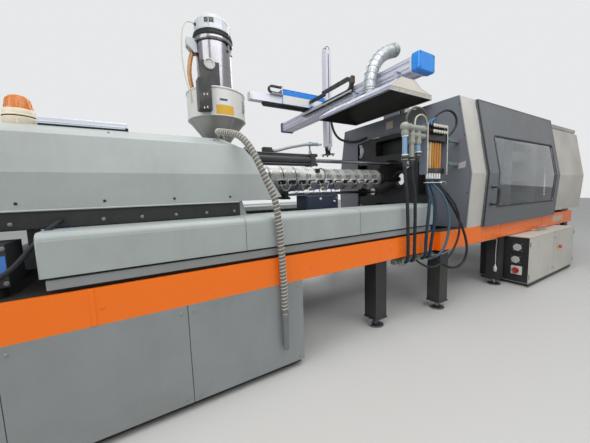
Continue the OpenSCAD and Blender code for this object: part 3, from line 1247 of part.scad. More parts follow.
module gripper() color("#2c2f33") at_origin() translate([arm_x, take_y, 0]) {
    plate_z = pin_z - 115;
    rod_y(0, [-76, 76], pin_z, 12);
    difference() {
        union() {
            rod_y(0, [-53, 53], pin_z, 34);
            box([-28, 28], [-53, 53], [plate_z + 14, pin_z]);
        }
        box([-60, 60], [-30, 30], [plate_z + 30, pin_z - 24]);
    }
    box([-90, 90], [-130, 130], [plate_z, plate_z + 15]);
    for (x = [-60, 60], y = [-100, 100]) {
        rod_z(x, y, [plate_z - 22, plate_z + 1], 8);
        rod_z(x, y, [plate_z - 34, plate_z - 21], 22);
    }
}

bed_frame();
bed_base();
levelling_feet();
side_panels();
side_rails();
ledge_covers();
guide_ways();
power_pack();
fixed_platen();
tie_bars();
tie_bar_nuts();
end_platen();
moving_platen();
clamp_ram();
ejector_plate();
guard_portal();
guard_hoop();
end_cover();
door_rails();
front_door();
front_window();
front_handle();
rear_door();
rear_window();
power_cabinet();
cabinet_fittings();
isolator_knob();
estop_button();
injection_carriage();
barrel();
heater_covers();
screw();
screw_drive();
carriage_cylinders();
carriage_rods();
injection_hood();
beacon();
hopper();
loader_vessel();
loader_head();
loader_box();
suction_hose();
suction_lance();
terminal_box();
fume_hood();
fume_duct();
manifold_frame();
manifold_valves();
flow_tubes();
supply_pipes();
manifold_hoses();
sensor_cable();
sensor_plug();
robot_riser();
robot_beam();
robot_carriage();
kick_beam();
robot_arm();
gripper();
cable_chain();
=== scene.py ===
import json
import math

import bmesh
import bpy
from mathutils import Matrix, Vector


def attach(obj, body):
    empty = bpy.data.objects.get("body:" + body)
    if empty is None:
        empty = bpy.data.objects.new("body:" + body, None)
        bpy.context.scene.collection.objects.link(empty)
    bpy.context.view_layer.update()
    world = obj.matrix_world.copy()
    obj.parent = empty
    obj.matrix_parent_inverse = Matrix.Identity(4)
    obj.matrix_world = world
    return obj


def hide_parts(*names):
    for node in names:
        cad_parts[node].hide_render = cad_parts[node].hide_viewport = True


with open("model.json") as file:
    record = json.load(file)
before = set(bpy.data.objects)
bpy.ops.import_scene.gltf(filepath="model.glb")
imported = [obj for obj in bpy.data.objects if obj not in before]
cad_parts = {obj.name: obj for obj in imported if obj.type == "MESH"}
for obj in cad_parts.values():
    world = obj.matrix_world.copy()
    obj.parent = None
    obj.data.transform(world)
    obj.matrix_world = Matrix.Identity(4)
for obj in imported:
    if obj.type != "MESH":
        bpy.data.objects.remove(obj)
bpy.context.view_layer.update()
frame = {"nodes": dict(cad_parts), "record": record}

# Places are given in millimetres from the mould face of the fixed platen, at the middle of the bed
# and on the floor. X runs to the clamp end and minus Y to the operator.
CENTRE = Vector((720, -780, 0))


def at(x, y, z):
    """A place on the machine in millimetres, as a point of the frame in metres."""
    return (Vector((x, y, z)) + CENTRE) / 1000


# Camera
EYE = (-3.120, -3.687, 1.450)
YAW, PITCH, ROLL = (math.radians(a) for a in (30.39, 5.88, -1.86))
ahead = Vector((math.sin(YAW), math.cos(YAW), 0))
level = Vector((math.cos(YAW), -math.sin(YAW), 0))
up = Vector((0, 0, 1))
look = ahead * math.cos(PITCH) - up * math.sin(PITCH)
rise = up * math.cos(PITCH) + ahead * math.sin(PITCH)
right = level * math.cos(ROLL) + rise * math.sin(ROLL)
top = rise * math.cos(ROLL) - level * math.sin(ROLL)
lens = bpy.data.cameras.new("camera")
lens.sensor_width = 36
lens.lens = 16.16
lens.clip_end = 60
camera = bpy.data.objects.new("camera", lens)
camera.matrix_world = Matrix((
    (right.x, top.x, -look.x, EYE[0]),
    (right.y, top.y, -look.y, EYE[1]),
    (right.z, top.z, -look.z, EYE[2]),
    (0, 0, 0, 1),
))
bpy.context.scene.collection.objects.link(camera)
bpy.context.scene.camera = camera


# Materials
def hue(code):
    """A colour written in sRGB as hex, turned to linear."""
    parts = [int(code[i:i + 2], 16) / 255 for i in (1, 3, 5)]
    return (*[p / 12.92 if p <= 0.04045 else ((p + 0.055) / 1.055) ** 2.4 for p in parts], 1)


def add(tree, kind, inputs=(), **settings):
    """Adds a node with its settings, and fills or links its inputs."""
    made = tree.nodes.new(kind)
    for key, value in settings.items():
        setattr(made, key, value)
    for key, value in dict(inputs).items():
        if isinstance(value, bpy.types.NodeSocket):
            tree.links.new(value, made.inputs[key])
        else:
            made.inputs[key].default_value = value
    return made


def finish_start(name, **sockets):
    """A new material, its tree, its shader and the place on the piece that patterns read."""
    made = bpy.data.materials.new(name)
    made.use_nodes = True
    tree = made.node_tree
    shader = tree.nodes["Principled BSDF"]
    for key, value in sockets.items():
        shader.inputs[key.replace("_", " ")].default_value = value
    place = add(tree, "ShaderNodeTexCoord").outputs["Object"]
    return made, tree, shader, place


def worn_edges(tree, soft):
    """1 on edges and corners, 0 on open faces, from the direction that a bevel gives the faces."""
    true = add(tree, "ShaderNodeNewGeometry")
    dot = add(tree, "ShaderNodeVectorMath", {0: soft, 1: true.outputs["Normal"]}, operation="DOT_PRODUCT")
    edge = add(tree, "ShaderNodeMapRange", {"Value": dot.outputs["Value"], "From Min": 0.995,
               "From Max": 0.9})
    return edge.outputs[0]


def powder_coat(name, colour, grime="#6b6a64", rough=0.42, wear=0.35, dust=0.3, bright=None):
    """Powder-coated sheet steel: a faint orange-peel skin, handling grime and dust in soft clouds and
    streaks, and edges rubbed paler where people and tools touch them."""
    made, tree, shader, place = finish_start(name, IOR=1.5)
    clouds = add(tree, "ShaderNodeTexNoise", {"Vector": place, "Scale": 1.7, "Detail": 5, "Roughness": 0.62})
    # Rain-like streaks about 40 mm wide that run down the sheet
    stretch = add(tree, "ShaderNodeMapping", {"Vector": place, "Scale": (26, 26, 1.6)})
    streaks = add(tree, "ShaderNodeTexNoise", {"Vector": stretch.outputs[0], "Scale": 1, "Detail": 3})
    faint = add(tree, "ShaderNodeMapRange", {"Value": streaks.outputs[0], "From Min": 0.3, "From Max": 0.7,
                "To Min": 0.88})
    both = add(tree, "ShaderNodeMath", {0: clouds.outputs[0], 1: faint.outputs[0]}, operation="MULTIPLY")
    dirty = add(tree, "ShaderNodeMapRange", {"Value": both.outputs[0], "From Min": 0.36, "From Max": 0.72,
                "To Max": dust})
    paint = add(tree, "ShaderNodeMix", {0: dirty.outputs[0], 6: hue(colour), 7: hue(grime)}, data_type="RGBA")
    soft = add(tree, "ShaderNodeBevel", {"Radius": 0.003}, samples=4).outputs[0]
    chips = add(tree, "ShaderNodeTexNoise", {"Vector": place, "Scale": 38, "Detail": 4})
    bare = add(tree, "ShaderNodeMath", {0: worn_edges(tree, soft), 1: chips.outputs[0]}, operation="MULTIPLY")
    shown = add(tree, "ShaderNodeMapRange", {"Value": bare.outputs[0], "From Min": 0.34, "From Max": 0.6,
                "To Max": wear})
    rubbed = add(tree, "ShaderNodeMix", {0: shown.outputs[0], 6: paint.outputs[2],
                 7: hue(bright or "#b9b7b0")}, data_type="RGBA")
    tree.links.new(rubbed.outputs[2], shader.inputs["Base Color"])
    gloss = add(tree, "ShaderNodeMapRange", {"Value": clouds.outputs[0], "From Min": 0.3, "From Max": 0.7,
                                             "To Min": rough - 0.07, "To Max": rough + 0.12})
    tree.links.new(gloss.outputs[0], shader.inputs["Roughness"])
    # Orange peel is 1 mm across and is drawn at 5 mm, or it wouldn't show
    peel = add(tree, "ShaderNodeTexNoise", {"Vector": place, "Scale": 200, "Detail": 1})
    skin = add(tree, "ShaderNodeBump", {"Height": peel.outputs[0], "Distance": 0.0004, "Strength": 0.22,
               "Normal": soft})
    tree.links.new(skin.outputs[0], shader.inputs["Normal"])
    return made


def casting(name, colour, rough=0.55):
    """Painted iron casting: sand-cast grain of a few millimetres under thick paint, with oily shade."""
    made, tree, shader, place = finish_start(name, IOR=1.5, Roughness=rough)
    oil = add(tree, "ShaderNodeTexNoise", {"Vector": place, "Scale": 3.5, "Detail": 6})
    shade = add(tree, "ShaderNodeMapRange", {"Value": oil.outputs[0], "From Min": 0.42, "From Max": 0.72,
                "To Max": 0.5})
    paint = add(tree, "ShaderNodeMix", {0: shade.outputs[0], 6: hue(colour), 7: hue("#3d3a36")},
                data_type="RGBA")
    tree.links.new(paint.outputs[2], shader.inputs["Base Color"])
    soft = add(tree, "ShaderNodeBevel", {"Radius": 0.006}, samples=4).outputs[0]
    grain = add(tree, "ShaderNodeTexNoise", {"Vector": place, "Scale": 130, "Detail": 3})
    bump = add(tree, "ShaderNodeBump", {"Height": grain.outputs[0], "Distance": 0.001, "Strength": 0.35,
               "Normal": soft})
    tree.links.new(bump.outputs[0], shader.inputs["Normal"])
    return made


def metal(name, colour, rough, lines=(1, 1, 1), depth=0.25, stain=0.15, bare=1.0):
    """Bare or plated metal. Grinding or drawing leaves fine lines, long along the axis whose scale
    is small, and an oily film dulls the shine in patches."""
    made, tree, shader, place = finish_start(name, Metallic=bare)
    stretch = add(tree, "ShaderNodeMapping", {"Vector": place, "Scale": lines})
    drawn = add(tree, "ShaderNodeTexNoise", {"Vector": stretch.outputs[0], "Scale": 260, "Detail": 2})
    film = add(tree, "ShaderNodeTexNoise", {"Vector": place, "Scale": 5, "Detail": 5})
    dull = add(tree, "ShaderNodeMapRange", {"Value": film.outputs[0], "From Min": 0.35, "From Max": 0.75,
               "To Max": stain})
    tone = add(tree, "ShaderNodeMix", {0: dull.outputs[0], 6: hue(colour), 7: hue("#57534c")},
               data_type="RGBA")
    tree.links.new(tone.outputs[2], shader.inputs["Base Color"])
    gloss = add(tree, "ShaderNodeMapRange", {"Value": drawn.outputs[0], "From Min": 0.3, "From Max": 0.7,
                                             "To Min": rough * 0.75, "To Max": rough * 1.3})
    tree.links.new(gloss.outputs[0], shader.inputs["Roughness"])
    soft = add(tree, "ShaderNodeBevel", {"Radius": 0.002}, samples=4).outputs[0]
    bump = add(tree, "ShaderNodeBump", {"Height": drawn.outputs[0], "Distance": 0.0003, "Strength": depth,
               "Normal": soft})
    tree.links.new(bump.outputs[0], shader.inputs["Normal"])
    return made


def galvanised(name):
    """Hot-dip galvanised sheet: zinc crystals 12 to 25 mm across that each mirror a little differently."""
    made, tree, shader, place = finish_start(name, Metallic=1.0)
    spangle = add(tree, "ShaderNodeTexVoronoi", {"Vector": place, "Scale": 55, "Randomness": 1})
    tone = add(tree, "ShaderNodeMix", {0: spangle.outputs["Color"], 6: hue("#b4b7b9"), 7: hue("#8f9599")},
               data_type="RGBA")
    tree.links.new(tone.outputs[2], shader.inputs["Base Color"])
    gloss = add(tree, "ShaderNodeMapRange", {"Value": spangle.outputs["Color"], "To Min": 0.42,
                "To Max": 0.62})
    tree.links.new(gloss.outputs[0], shader.inputs["Roughness"])
    dents = add(tree, "ShaderNodeTexNoise", {"Vector": place, "Scale": 9, "Detail": 2})
    bump = add(tree, "ShaderNodeBump", {"Height": dents.outputs[0], "Distance": 0.004, "Strength": 0.3})
    tree.links.new(bump.outputs[0], shader.inputs["Normal"])
    return made


def moulded(name, colour, rough=0.45, depth=0.15):
    """Injection-moulded plastic with a fine spark-eroded texture and a little dust."""
    made, tree, shader, place = finish_start(name, IOR=1.49, Roughness=rough)
    dust = add(tree, "ShaderNodeTexNoise", {"Vector": place, "Scale": 12, "Detail": 5})
    film = add(tree, "ShaderNodeMapRange", {"Value": dust.outputs[0], "From Min": 0.45, "From Max": 0.8,
               "To Max": 0.22})
    tone = add(tree, "ShaderNodeMix", {0: film.outputs[0], 6: hue(colour), 7: hue("#8c887e")},
               data_type="RGBA")
    tree.links.new(tone.outputs[2], shader.inputs["Base Color"])
    soft = add(tree, "ShaderNodeBevel", {"Radius": 0.0015}, samples=4).outputs[0]
    spark = add(tree, "ShaderNodeTexNoise", {"Vector": place, "Scale": 420, "Detail": 2})
    bump = add(tree, "ShaderNodeBump", {"Height": spark.outputs[0], "Distance": 0.0003, "Strength": depth,
               "Normal": soft})
    tree.links.new(bump.outputs[0], shader.inputs["Normal"])
    return made


def rubber(name, colour, rough=0.6):
    """Extruded rubber hose: matt, with a bloom of pale dust."""
    made, tree, shader, place = finish_start(name, IOR=1.52, Specular_IOR_Level=0.25)
    bloom = add(tree, "ShaderNodeTexNoise", {"Vector": place, "Scale": 22, "Detail": 6, "Roughness": 0.7})
    film = add(tree, "ShaderNodeMapRange", {"Value": bloom.outputs[0], "From Min": 0.45, "From Max": 0.8,
               "To Max": 0.12})
    tone = add(tree, "ShaderNodeMix", {0: film.outputs[0], 6: hue(colour), 7: hue("#8a857c")},
               data_type="RGBA")
    tree.links.new(tone.outputs[2], shader.inputs["Base Color"])
    gloss = add(tree, "ShaderNodeMapRange", {"Value": bloom.outputs[0], "To Min": rough - 0.1,
                "To Max": rough + 0.15})
    tree.links.new(gloss.outputs[0], shader.inputs["Roughness"])
    bump = add(tree, "ShaderNodeBump", {"Height": bloom.outputs[0], "Distance": 0.0006, "Strength": 0.2})
    tree.links.new(bump.outputs[0], shader.inputs["Normal"])
    return made


def clear(name, colour, rough=0.03, ior=1.58, through=1.0, haze=0.12):
    """Clear moulded or cast plastic with fine wiping scratches."""
    made, tree, shader, place = finish_start(name, IOR=ior, Transmission_Weight=through,
                                             Base_Color=hue(colour))
    stretch = add(tree, "ShaderNodeMapping", {"Vector": place, "Scale": (3, 3, 40)})
    wipes = add(tree, "ShaderNodeTexNoise", {"Vector": stretch.outputs[0], "Scale": 2, "Detail": 4})
    gloss = add(tree, "ShaderNodeMapRange", {"Value": wipes.outputs[0], "From Min": 0.4, "From Max": 0.8,
                                             "To Min": rough, "To Max": rough + haze})
    tree.links.new(gloss.outputs[0], shader.inputs["Roughness"])
    return made


MATERIAL = {
    "bed_black": powder_coat("satin_black_paint", "#232427", grime="#5b574f", rough=0.5, dust=0.35, wear=0.2),
    "foot_steel": metal("plain_turned_steel", "#8f9294", 0.38),
    "panel_grey": powder_coat("mid_grey_powder_coat", "#8f9494", dust=0.35),
    "rail_orange": powder_coat("orange_powder_coat", "#ff7808", grime="#c9640f", rough=0.29, dust=0.05,
                               wear=0.15, bright="#ff9a55"),
    "ledge_grey": powder_coat("light_grey_powder_coat", "#a9b1ae", rough=0.36, dust=0.3),
    "ground_steel": metal("ground_tool_steel", "#6c6e70", 0.42, lines=(0.03, 1, 1)),
    "pump_black": casting("black_pump_casting", "#26282b"),
    "casting_grey": casting("grey_painted_casting", "#7d8488"),
    "bar_chrome": metal("hard_chrome_plate", "#a3a6a9", 0.14, lines=(0.05, 1, 1), depth=0.05),
    "portal_slate": powder_coat("slate_powder_coat", "#6f747d", grime="#77756f", rough=0.42),
    "hoop_grey": powder_coat("pale_grey_powder_coat", "#c6c4bd", rough=0.4, dust=0.2),
    "cover_grey": powder_coat("warm_grey_powder_coat", "#cbc6bb", rough=0.42, dust=0.2),
    "track_steel": powder_coat("painted_track", "#b5b1a8", rough=0.4, dust=0.3),
    "door_slate": powder_coat("dark_slate_powder_coat", "#5e6266", grime="#7d7b75", rough=0.42),
    "window_pane": clear("clear_polycarbonate", "#e2e8ec", rough=0.0, ior=1.4, haze=0.01),
    "handle_black": moulded("black_glass_filled_nylon", "#17181a", 0.5),
    "cabinet_grey": powder_coat("cabinet_grey_powder_coat", "#cfccc2", rough=0.44, dust=0.2),
    "fitting_grey": moulded("light_grey_abs", "#bfc0bc"),
    "knob_red": moulded("red_nylon", "#b8231b", 0.35),
    "stop_red": moulded("red_polycarbonate", "#cf2a20", 0.25),
    "barrel_steel": metal("nitrided_steel", "#8a8782", 0.35, lines=(0.05, 1, 1), stain=0.35),
    "jacket_silver": metal("insulated_sheet_jacket", "#cbcbc6", 0.5, stain=0.25, bare=0.6),
    "drive_dark": powder_coat("dark_machine_enamel", "#2b2e32", rough=0.35),
    "hood_grey": powder_coat("hood_grey_powder_coat", "#b2b9b6", rough=0.38, dust=0.28),
    "beacon_cream": moulded("cream_abs", "#e2d6bd"),
    "hopper_grey": powder_coat("hopper_grey_enamel", "#dcdcd8", rough=0.3, dust=0.15),
    "vessel_chrome": metal("polished_stainless_steel", "#8d8c90", 0.2, lines=(1, 1, 0.06), depth=0.08),
    "head_grey": moulded("pale_grey_abs", "#bcc1c5", 0.35),
    "box_black": moulded("black_abs", "#1a1b1d", 0.42),
    "hose_grey": rubber("grey_spiral_pvc", "#75726c", 0.5),
    "lance_steel": metal("stainless_tube", "#b4b6b7", 0.25, lines=(1, 1, 0.05)),
    "terminal_navy": powder_coat("navy_enamel", "#222c42", rough=0.4, dust=0.2),
    "fume_grey": metal("folded_galvanised_sheet", "#b9bccb", 0.42, lines=(1, 0.05, 1), stain=0.2, bare=0.6),
    "duct_galvanised": galvanised("spangled_zinc_sheet"),
    "frame_slate": powder_coat("blue_grey_enamel", "#6f7688", rough=0.38, dust=0.2),
    "valve_grey": moulded("cream_grey_acetal", "#cdc9bd", 0.4),
    "tube_amber": clear("amber_polysulfone", "#e0a050", rough=0.12, ior=1.4, through=0.3),
    "pipe_grey": moulded("grey_green_nylon", "#979a90", 0.45),
    "hose_black": rubber("black_epdm_rubber", "#22252a"),
    "cable_white": rubber("white_pvc_sheath", "#cfcfc6", 0.45),
    "plug_white": moulded("white_nylon", "#d8d8d2", 0.35),
    "robot_paint": powder_coat("robot_grey_powder_coat", "#b9bcbf", rough=0.4, dust=0.2),
    "beam_aluminium": metal("anodised_aluminium", "#d3d5de", 0.45, lines=(1, 0.04, 1), stain=0.08, bare=0.35),
    "robot_blue": powder_coat("bright_blue_powder_coat", "#1f7fd6", rough=0.32, dust=0.12),
    "gripper_dark": metal("black_anodised_aluminium", "#303338", 0.4),
    "chain_black": moulded("black_chain_nylon", "#1c1d1f", 0.5),
}

used_slots = {part["node"]: part["material_slot"] for part in frame["record"]["subparts"]}
for part_name, slot_name in used_slots.items():
    node = frame["nodes"][part_name]
    node.data.materials.clear()
    node.data.materials.append(MATERIAL[slot_name])
# The fixed platen is coloured near black as painted shade, for the shadow that the portal casts on it
frame["nodes"]["fixed_platen"].data.materials[0] = casting("platen_casting_painted_shade", "#1d1f22", 0.6)


# Tools for making the pieces
AXES = {"x": (1, 2, 0), "y": (0, 2, 1), "z": (0, 1, 2)}
SIDES = ((-1, "near"), (1, "far"))
# Height of the barrel's axis above the floor, and the line down which the hopper feeds it
AXIS_Z = 1640
THROAT = (-3048, 0, 0)


def spot(a, b, c, along):
    """A point with its first two numbers across an axis and its third along it."""
    point = [0, 0, 0]
    for axis, value in zip(AXES[along], (a, b, c)):
        point[axis] = value
    return Vector(point)


def bend(centre, r, angles):
    """Points round a bend, at angles in degrees."""
    return [(centre[0] + r * math.cos(math.radians(a)), centre[1] + r * math.sin(math.radians(a)))
            for a in angles]


def around(count, first=0):
    """The cosine and the sine of even steps round a circle."""
    return bend((0, 0), 1, [first + 360 * k / count for k in range(count)])


def rounded(a, b, r, steps=4):
    """The outline of a rectangle with round corners, from its two ranges."""
    points = []
    middles = ((a[1] - r, b[1] - r), (a[0] + r, b[1] - r), (a[0] + r, b[0] + r), (a[1] - r, b[0] + r))
    for quarter, middle in enumerate(middles):
        points += bend(middle, r, [90 * (quarter + i / steps) for i in range(steps + 1)])
    return points


def curve_through(points, steps=4):
    """A smooth curve through points: the same one that the hoses' solids follow."""
    def knot(i):
        return Vector(points[max(0, min(len(points) - 1, i))])
    route = []
    for i in range(len(points) - 1):
        a, b, c, d = knot(i - 1), knot(i), knot(i + 1), knot(i + 2)
        for k in range(steps):
            t = k / steps
            route.append((2 * b + (c - a) * t + (2 * a - 5 * b + 4 * c - d) * t ** 2
                          + (3 * b - a - 3 * c + d) * t ** 3) / 2)
    return route + [Vector(points[-1])]


class Piece:
    """One piece in the making: its faces are gathered in millimetres of the machine."""

    def __init__(self):
        self.mesh = bmesh.new()

    def shell(self, points, faces):
        corners = [self.mesh.verts.new(p) for p in points]
        for face in faces:
            self.mesh.faces.new([corners[i] for i in face])

    def slab(self, low, high):
        """A solid between two outlines in space with as many corners as each other."""
        count = len(low)
        faces = [tuple(range(count)), tuple(range(2 * count - 1, count - 1, -1))]
        faces += [(i, (i + 1) % count, (i + 1) % count + count, i + count) for i in range(count)]
        self.shell([*low, *high], faces)

    def prism(self, outline, low, high, along="x"):
        """An outline in the two axes across, pushed from low to high along the third."""
        self.slab(*([spot(a, b, c, along) for a, b in outline] for c in (low, high)))

    def block(self, x, y, z):
        self.prism([(y[0], z[0]), (y[1], z[0]), (y[1], z[1]), (y[0], z[1])], x[0], x[1])

    def band(self, rings):
        """A hollow solid from four rings of corners: the outer and inner one below, then those above."""
        count = len(rings[0])
        faces = []
        for i in range(count):
            j = (i + 1) % count
            faces += [(i, j, j + count, i + count), (i + 2 * count, i + 3 * count, j + 3 * count,
                      j + 2 * count), (i, i + 2 * count, j + 2 * count, j),
                      (i + count, j + count, j + 3 * count, i + 3 * count)]
        self.shell([corner for ring in rings for corner in ring], faces)

    def frame(self, outer, inner, low, high, along="x"):
        """A ring between two outlines with as many corners as each other."""
        self.band([[spot(a, b, c, along) for a, b in ring] for c in (low, high) for ring in (outer, inner)])

    def lathe(self, profile, centre, along="z", sides=48):
        """A closed profile of (radius, height) turned about an axis."""
        count = len(profile)
        points = [spot(r * c, r * s, h, along) + Vector(centre) for c, s in around(sides) for r, h in profile]
        faces = []
        for k in range(sides):
            here, there = k * count, (k + 1) % sides * count
            faces += [(here + i, here + (i + 1) % count, there + (i + 1) % count, there + i)
                      for i in range(count)]
        self.shell(points, faces)
        bmesh.ops.remove_doubles(self.mesh, verts=self.mesh.verts, dist=0.001)
        bmesh.ops.dissolve_degenerate(self.mesh, edges=self.mesh.edges, dist=0.001)

    def rod(self, start, end, r, sides=20, end_r=None):
        """A round bar between two points, tapered to end_r."""
        self.pipe([start, end], [r, r if end_r is None else end_r], sides)

    def pipe(self, route, r, sides=12, flat=1.0):
        """A tube swept along points; r is one radius or one for each point."""
        route = [Vector(p) for p in route]
        radii = r if isinstance(r, (list, tuple)) else [r] * len(route)
        side = Vector((0.3, 0.9, 0.3))
        points = []
        for i, place in enumerate(route):
            way = (route[min(i + 1, len(route) - 1)] - route[max(i - 1, 0)]).normalized()
            side = (side - way * side.dot(way)).normalized()
            other = way.cross(side)
            for k in range(sides):
                angle = 2 * math.pi * k / sides
                points.append(place + radii[i] * (math.cos(angle) * side + math.sin(angle) * other * flat))
        last = len(route) - 1
        faces = [(i * sides + k, i * sides + (k + 1) % sides, (i + 1) * sides + (k + 1) % sides,
                 (i + 1) * sides + k) for i in range(last) for k in range(sides)]
        faces += [tuple(range(sides)), tuple(range(last * sides, last * sides + sides))]
        self.shell(points, faces)

    def moved(self, matrix):
        """Turns or shifts all that is in the piece so far."""
        bmesh.ops.transform(self.mesh, matrix=matrix, verts=self.mesh.verts)

    def join(self, other, matrix):
        """Adds another piece, turned or shifted, to this one."""
        other.moved(matrix)
        data = bpy.data.meshes.new("joined")
        other.mesh.to_mesh(data)
        self.mesh.from_mesh(data)
        bpy.data.meshes.remove(data)

    def done(self, name, body, slot, finish=None, bevel=1.0, sharp=38, hides=(), segments=2):
        """Makes the piece an object that rides on a body, with its edges softened."""
        bmesh.ops.recalc_face_normals(self.mesh, faces=self.mesh.faces)
        for corner in self.mesh.verts:
            corner.co = at(*corner.co)
        data = bpy.data.meshes.new(name)
        self.mesh.to_mesh(data)
        self.mesh.free()
        data.polygons.foreach_set("use_smooth", [True] * len(data.polygons))
        data.set_sharp_from_angle(angle=math.radians(sharp))
        made = bpy.data.objects.new(name, data)
        bpy.context.scene.collection.objects.link(made)
        data.materials.append(finish or MATERIAL[slot])
        if bevel:
            soft = made.modifiers.new("edges", "BEVEL")
            soft.width = bevel / 1000
            soft.segments = segments
            soft.limit_method = "ANGLE"
            soft.angle_limit = math.radians(sharp)
            soft.use_clamp_overlap = True
        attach(made, body)
        if hides:
            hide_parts(*hides)
        return made


def label(name, body, slot, corners, finish, thick=0.8):
    """A blank plate or sticker between four corners, laid on a face."""
    a, b, c, d = (Vector(p) for p in corners)
    out = (b - a).cross(d - a).normalized() * thick
    piece = Piece()
    piece.slab([a, b, c, d], [a + out, b + out, c + out, d + out])
    piece.done(name, body, slot, finish, bevel=0.2)


def curved_plate(piece, centre, r, angles, z, thick, steps=8):
    """A thin plate bent round an upright cylinder."""
    turns = [angles[0] + (angles[1] - angles[0]) * k / steps for k in range(steps + 1)]
    ring = bend(centre, r + thick, turns) + bend(centre, r, turns[::-1])
    piece.prism(ring, z[0], z[1], "z")


def fastener_tree():
    """Geometry Nodes: a washer and a head, six-sided or round, on every point, turned to face outwards."""
    tree = bpy.data.node_groups.new("bolt_heads", "GeometryNodeTree")
    for name, way, kind in (("Points", "INPUT", "Geometry"), ("Head radius", "INPUT", "Float"),
                            ("Head height", "INPUT", "Float"), ("Sides", "INPUT", "Int"),
                            ("Finish", "INPUT", "Material"), ("Heads", "OUTPUT", "Geometry")):
        tree.interface.new_socket(name, in_out=way, socket_type="NodeSocket" + kind)
    given = tree.nodes.new("NodeGroupInput").outputs
    wide = add(tree, "ShaderNodeMath", {0: given["Head radius"], 1: 1.35}, operation="MULTIPLY")
    thin = add(tree, "ShaderNodeMath", {0: given["Head height"], 1: 0.3}, operation="MULTIPLY")
    washer = add(tree, "GeometryNodeMeshCylinder", {"Vertices": 16, "Radius": wide.outputs[0],
                 "Depth": thin.outputs[0]})
    small = add(tree, "ShaderNodeMath", {0: given["Head radius"], 1: 0.86}, operation="MULTIPLY")
    head = add(tree, "GeometryNodeMeshCone", {"Vertices": given["Sides"],
               "Radius Bottom": given["Head radius"], "Radius Top": small.outputs[0],
               "Depth": given["Head height"]})
    both = add(tree, "GeometryNodeJoinGeometry")
    tree.links.new(washer.outputs["Mesh"], both.inputs[0])
    tree.links.new(head.outputs["Mesh"], both.inputs[0])
    out = add(tree, "GeometryNodeInputNamedAttribute", {"Name": "facing"}, data_type="FLOAT_VECTOR")
    turn = add(tree, "FunctionNodeAlignRotationToVector", {"Vector": out.outputs[0]}, axis="Z")
    placed = add(tree, "GeometryNodeInstanceOnPoints", {"Points": given["Points"],
                 "Instance": both.outputs[0], "Rotation": turn.outputs[0]})
    real = add(tree, "GeometryNodeRealizeInstances", {0: placed.outputs[0]})
    painted = add(tree, "GeometryNodeSetMaterial", {"Geometry": real.outputs[0], "Material": given["Finish"]})
    last = tree.nodes.new("NodeGroupOutput")
    tree.links.new(painted.outputs[0], last.inputs[0])
    return tree


BOLT_HEADS = fastener_tree()


def bolts(name, places, facing, body, slot, radius=7, height=5, sides=6):
    """Bolt or screw heads at places that all face one way, kept as a plain mesh."""
    data = bpy.data.meshes.new(name)
    data.from_pydata([at(*p) for p in places], [], [])
    way = data.attributes.new("facing", "FLOAT_VECTOR", "POINT")
    way.data.foreach_set("vector", [c for _ in places for c in facing])
    heads = bpy.data.objects.new(name, data)
    bpy.context.scene.collection.objects.link(heads)
    grower = heads.modifiers.new("heads", "NODES")
    grower.node_group = BOLT_HEADS
    sizes = {"Head radius": radius / 1000, "Head height": height / 1000, "Sides": sides,
             "Finish": MATERIAL[slot]}
    for item in BOLT_HEADS.interface.items_tree:
        if item.name in sizes:
            grower[item.identifier] = sizes[item.name]
    graph = bpy.context.evaluated_depsgraph_get()
    grown = bpy.data.meshes.new_from_object(heads.evaluated_get(graph))
    heads.modifiers.clear()
    heads.data = grown
    grown.name = name
    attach(heads, body)


# Loose hoses and the cable. Each route is the one that its solid follows.
RIB_STEP = 4
# The suction hose's wire: its distance from the hose's middle, and the length of a turn
HOSE_WIRE_R, HOSE_WIRE_PITCH = 23.2, 28


def hose(name, body, slot, points, radius,
         steps=4, sides=16, hides=(), ribs=0.0, finish=None, inside=()):
    """A free hose or cable along a smooth curve. Ribs is the part of its radius that the ribs stand out,
    and inside are the points where it runs on, thinner, through the piece on its end."""
    route = curve_through(points, steps)
    if ribs:
        # One rib at every third step, so 12 mm apart
        long = [0.0]
        for a, b in zip(route, route[1:]):
            long.append(long[-1] + (b - a).length)
        count = int(long[-1] / RIB_STEP)
        fine, k = [], 0
        for i in range(count + 1):
            want = long[-1] * i / count
            while k < len(route) - 2 and long[k + 1] < want:
                k += 1
            fine.append(route[k].lerp(route[k + 1], (want - long[k]) / (long[k + 1] - long[k])))
        route = fine
        radii = [radius * (1 - ribs * (0.5 + 0.5 * math.cos(2 * math.pi * i / 3))) for i in range(len(route))]
    else:
        radii = radius
    if inside:
        radii = (radii if isinstance(radii, list) else [radii] * len(route)) + [radius * 0.6] * len(inside)
        route = route + [Vector(p) for p in inside]
    piece = Piece()
    piece.pipe(route, radii, sides)
    made = piece.done(name, body, slot, finish, bevel=0, sharp=60, hides=hides)
    return made


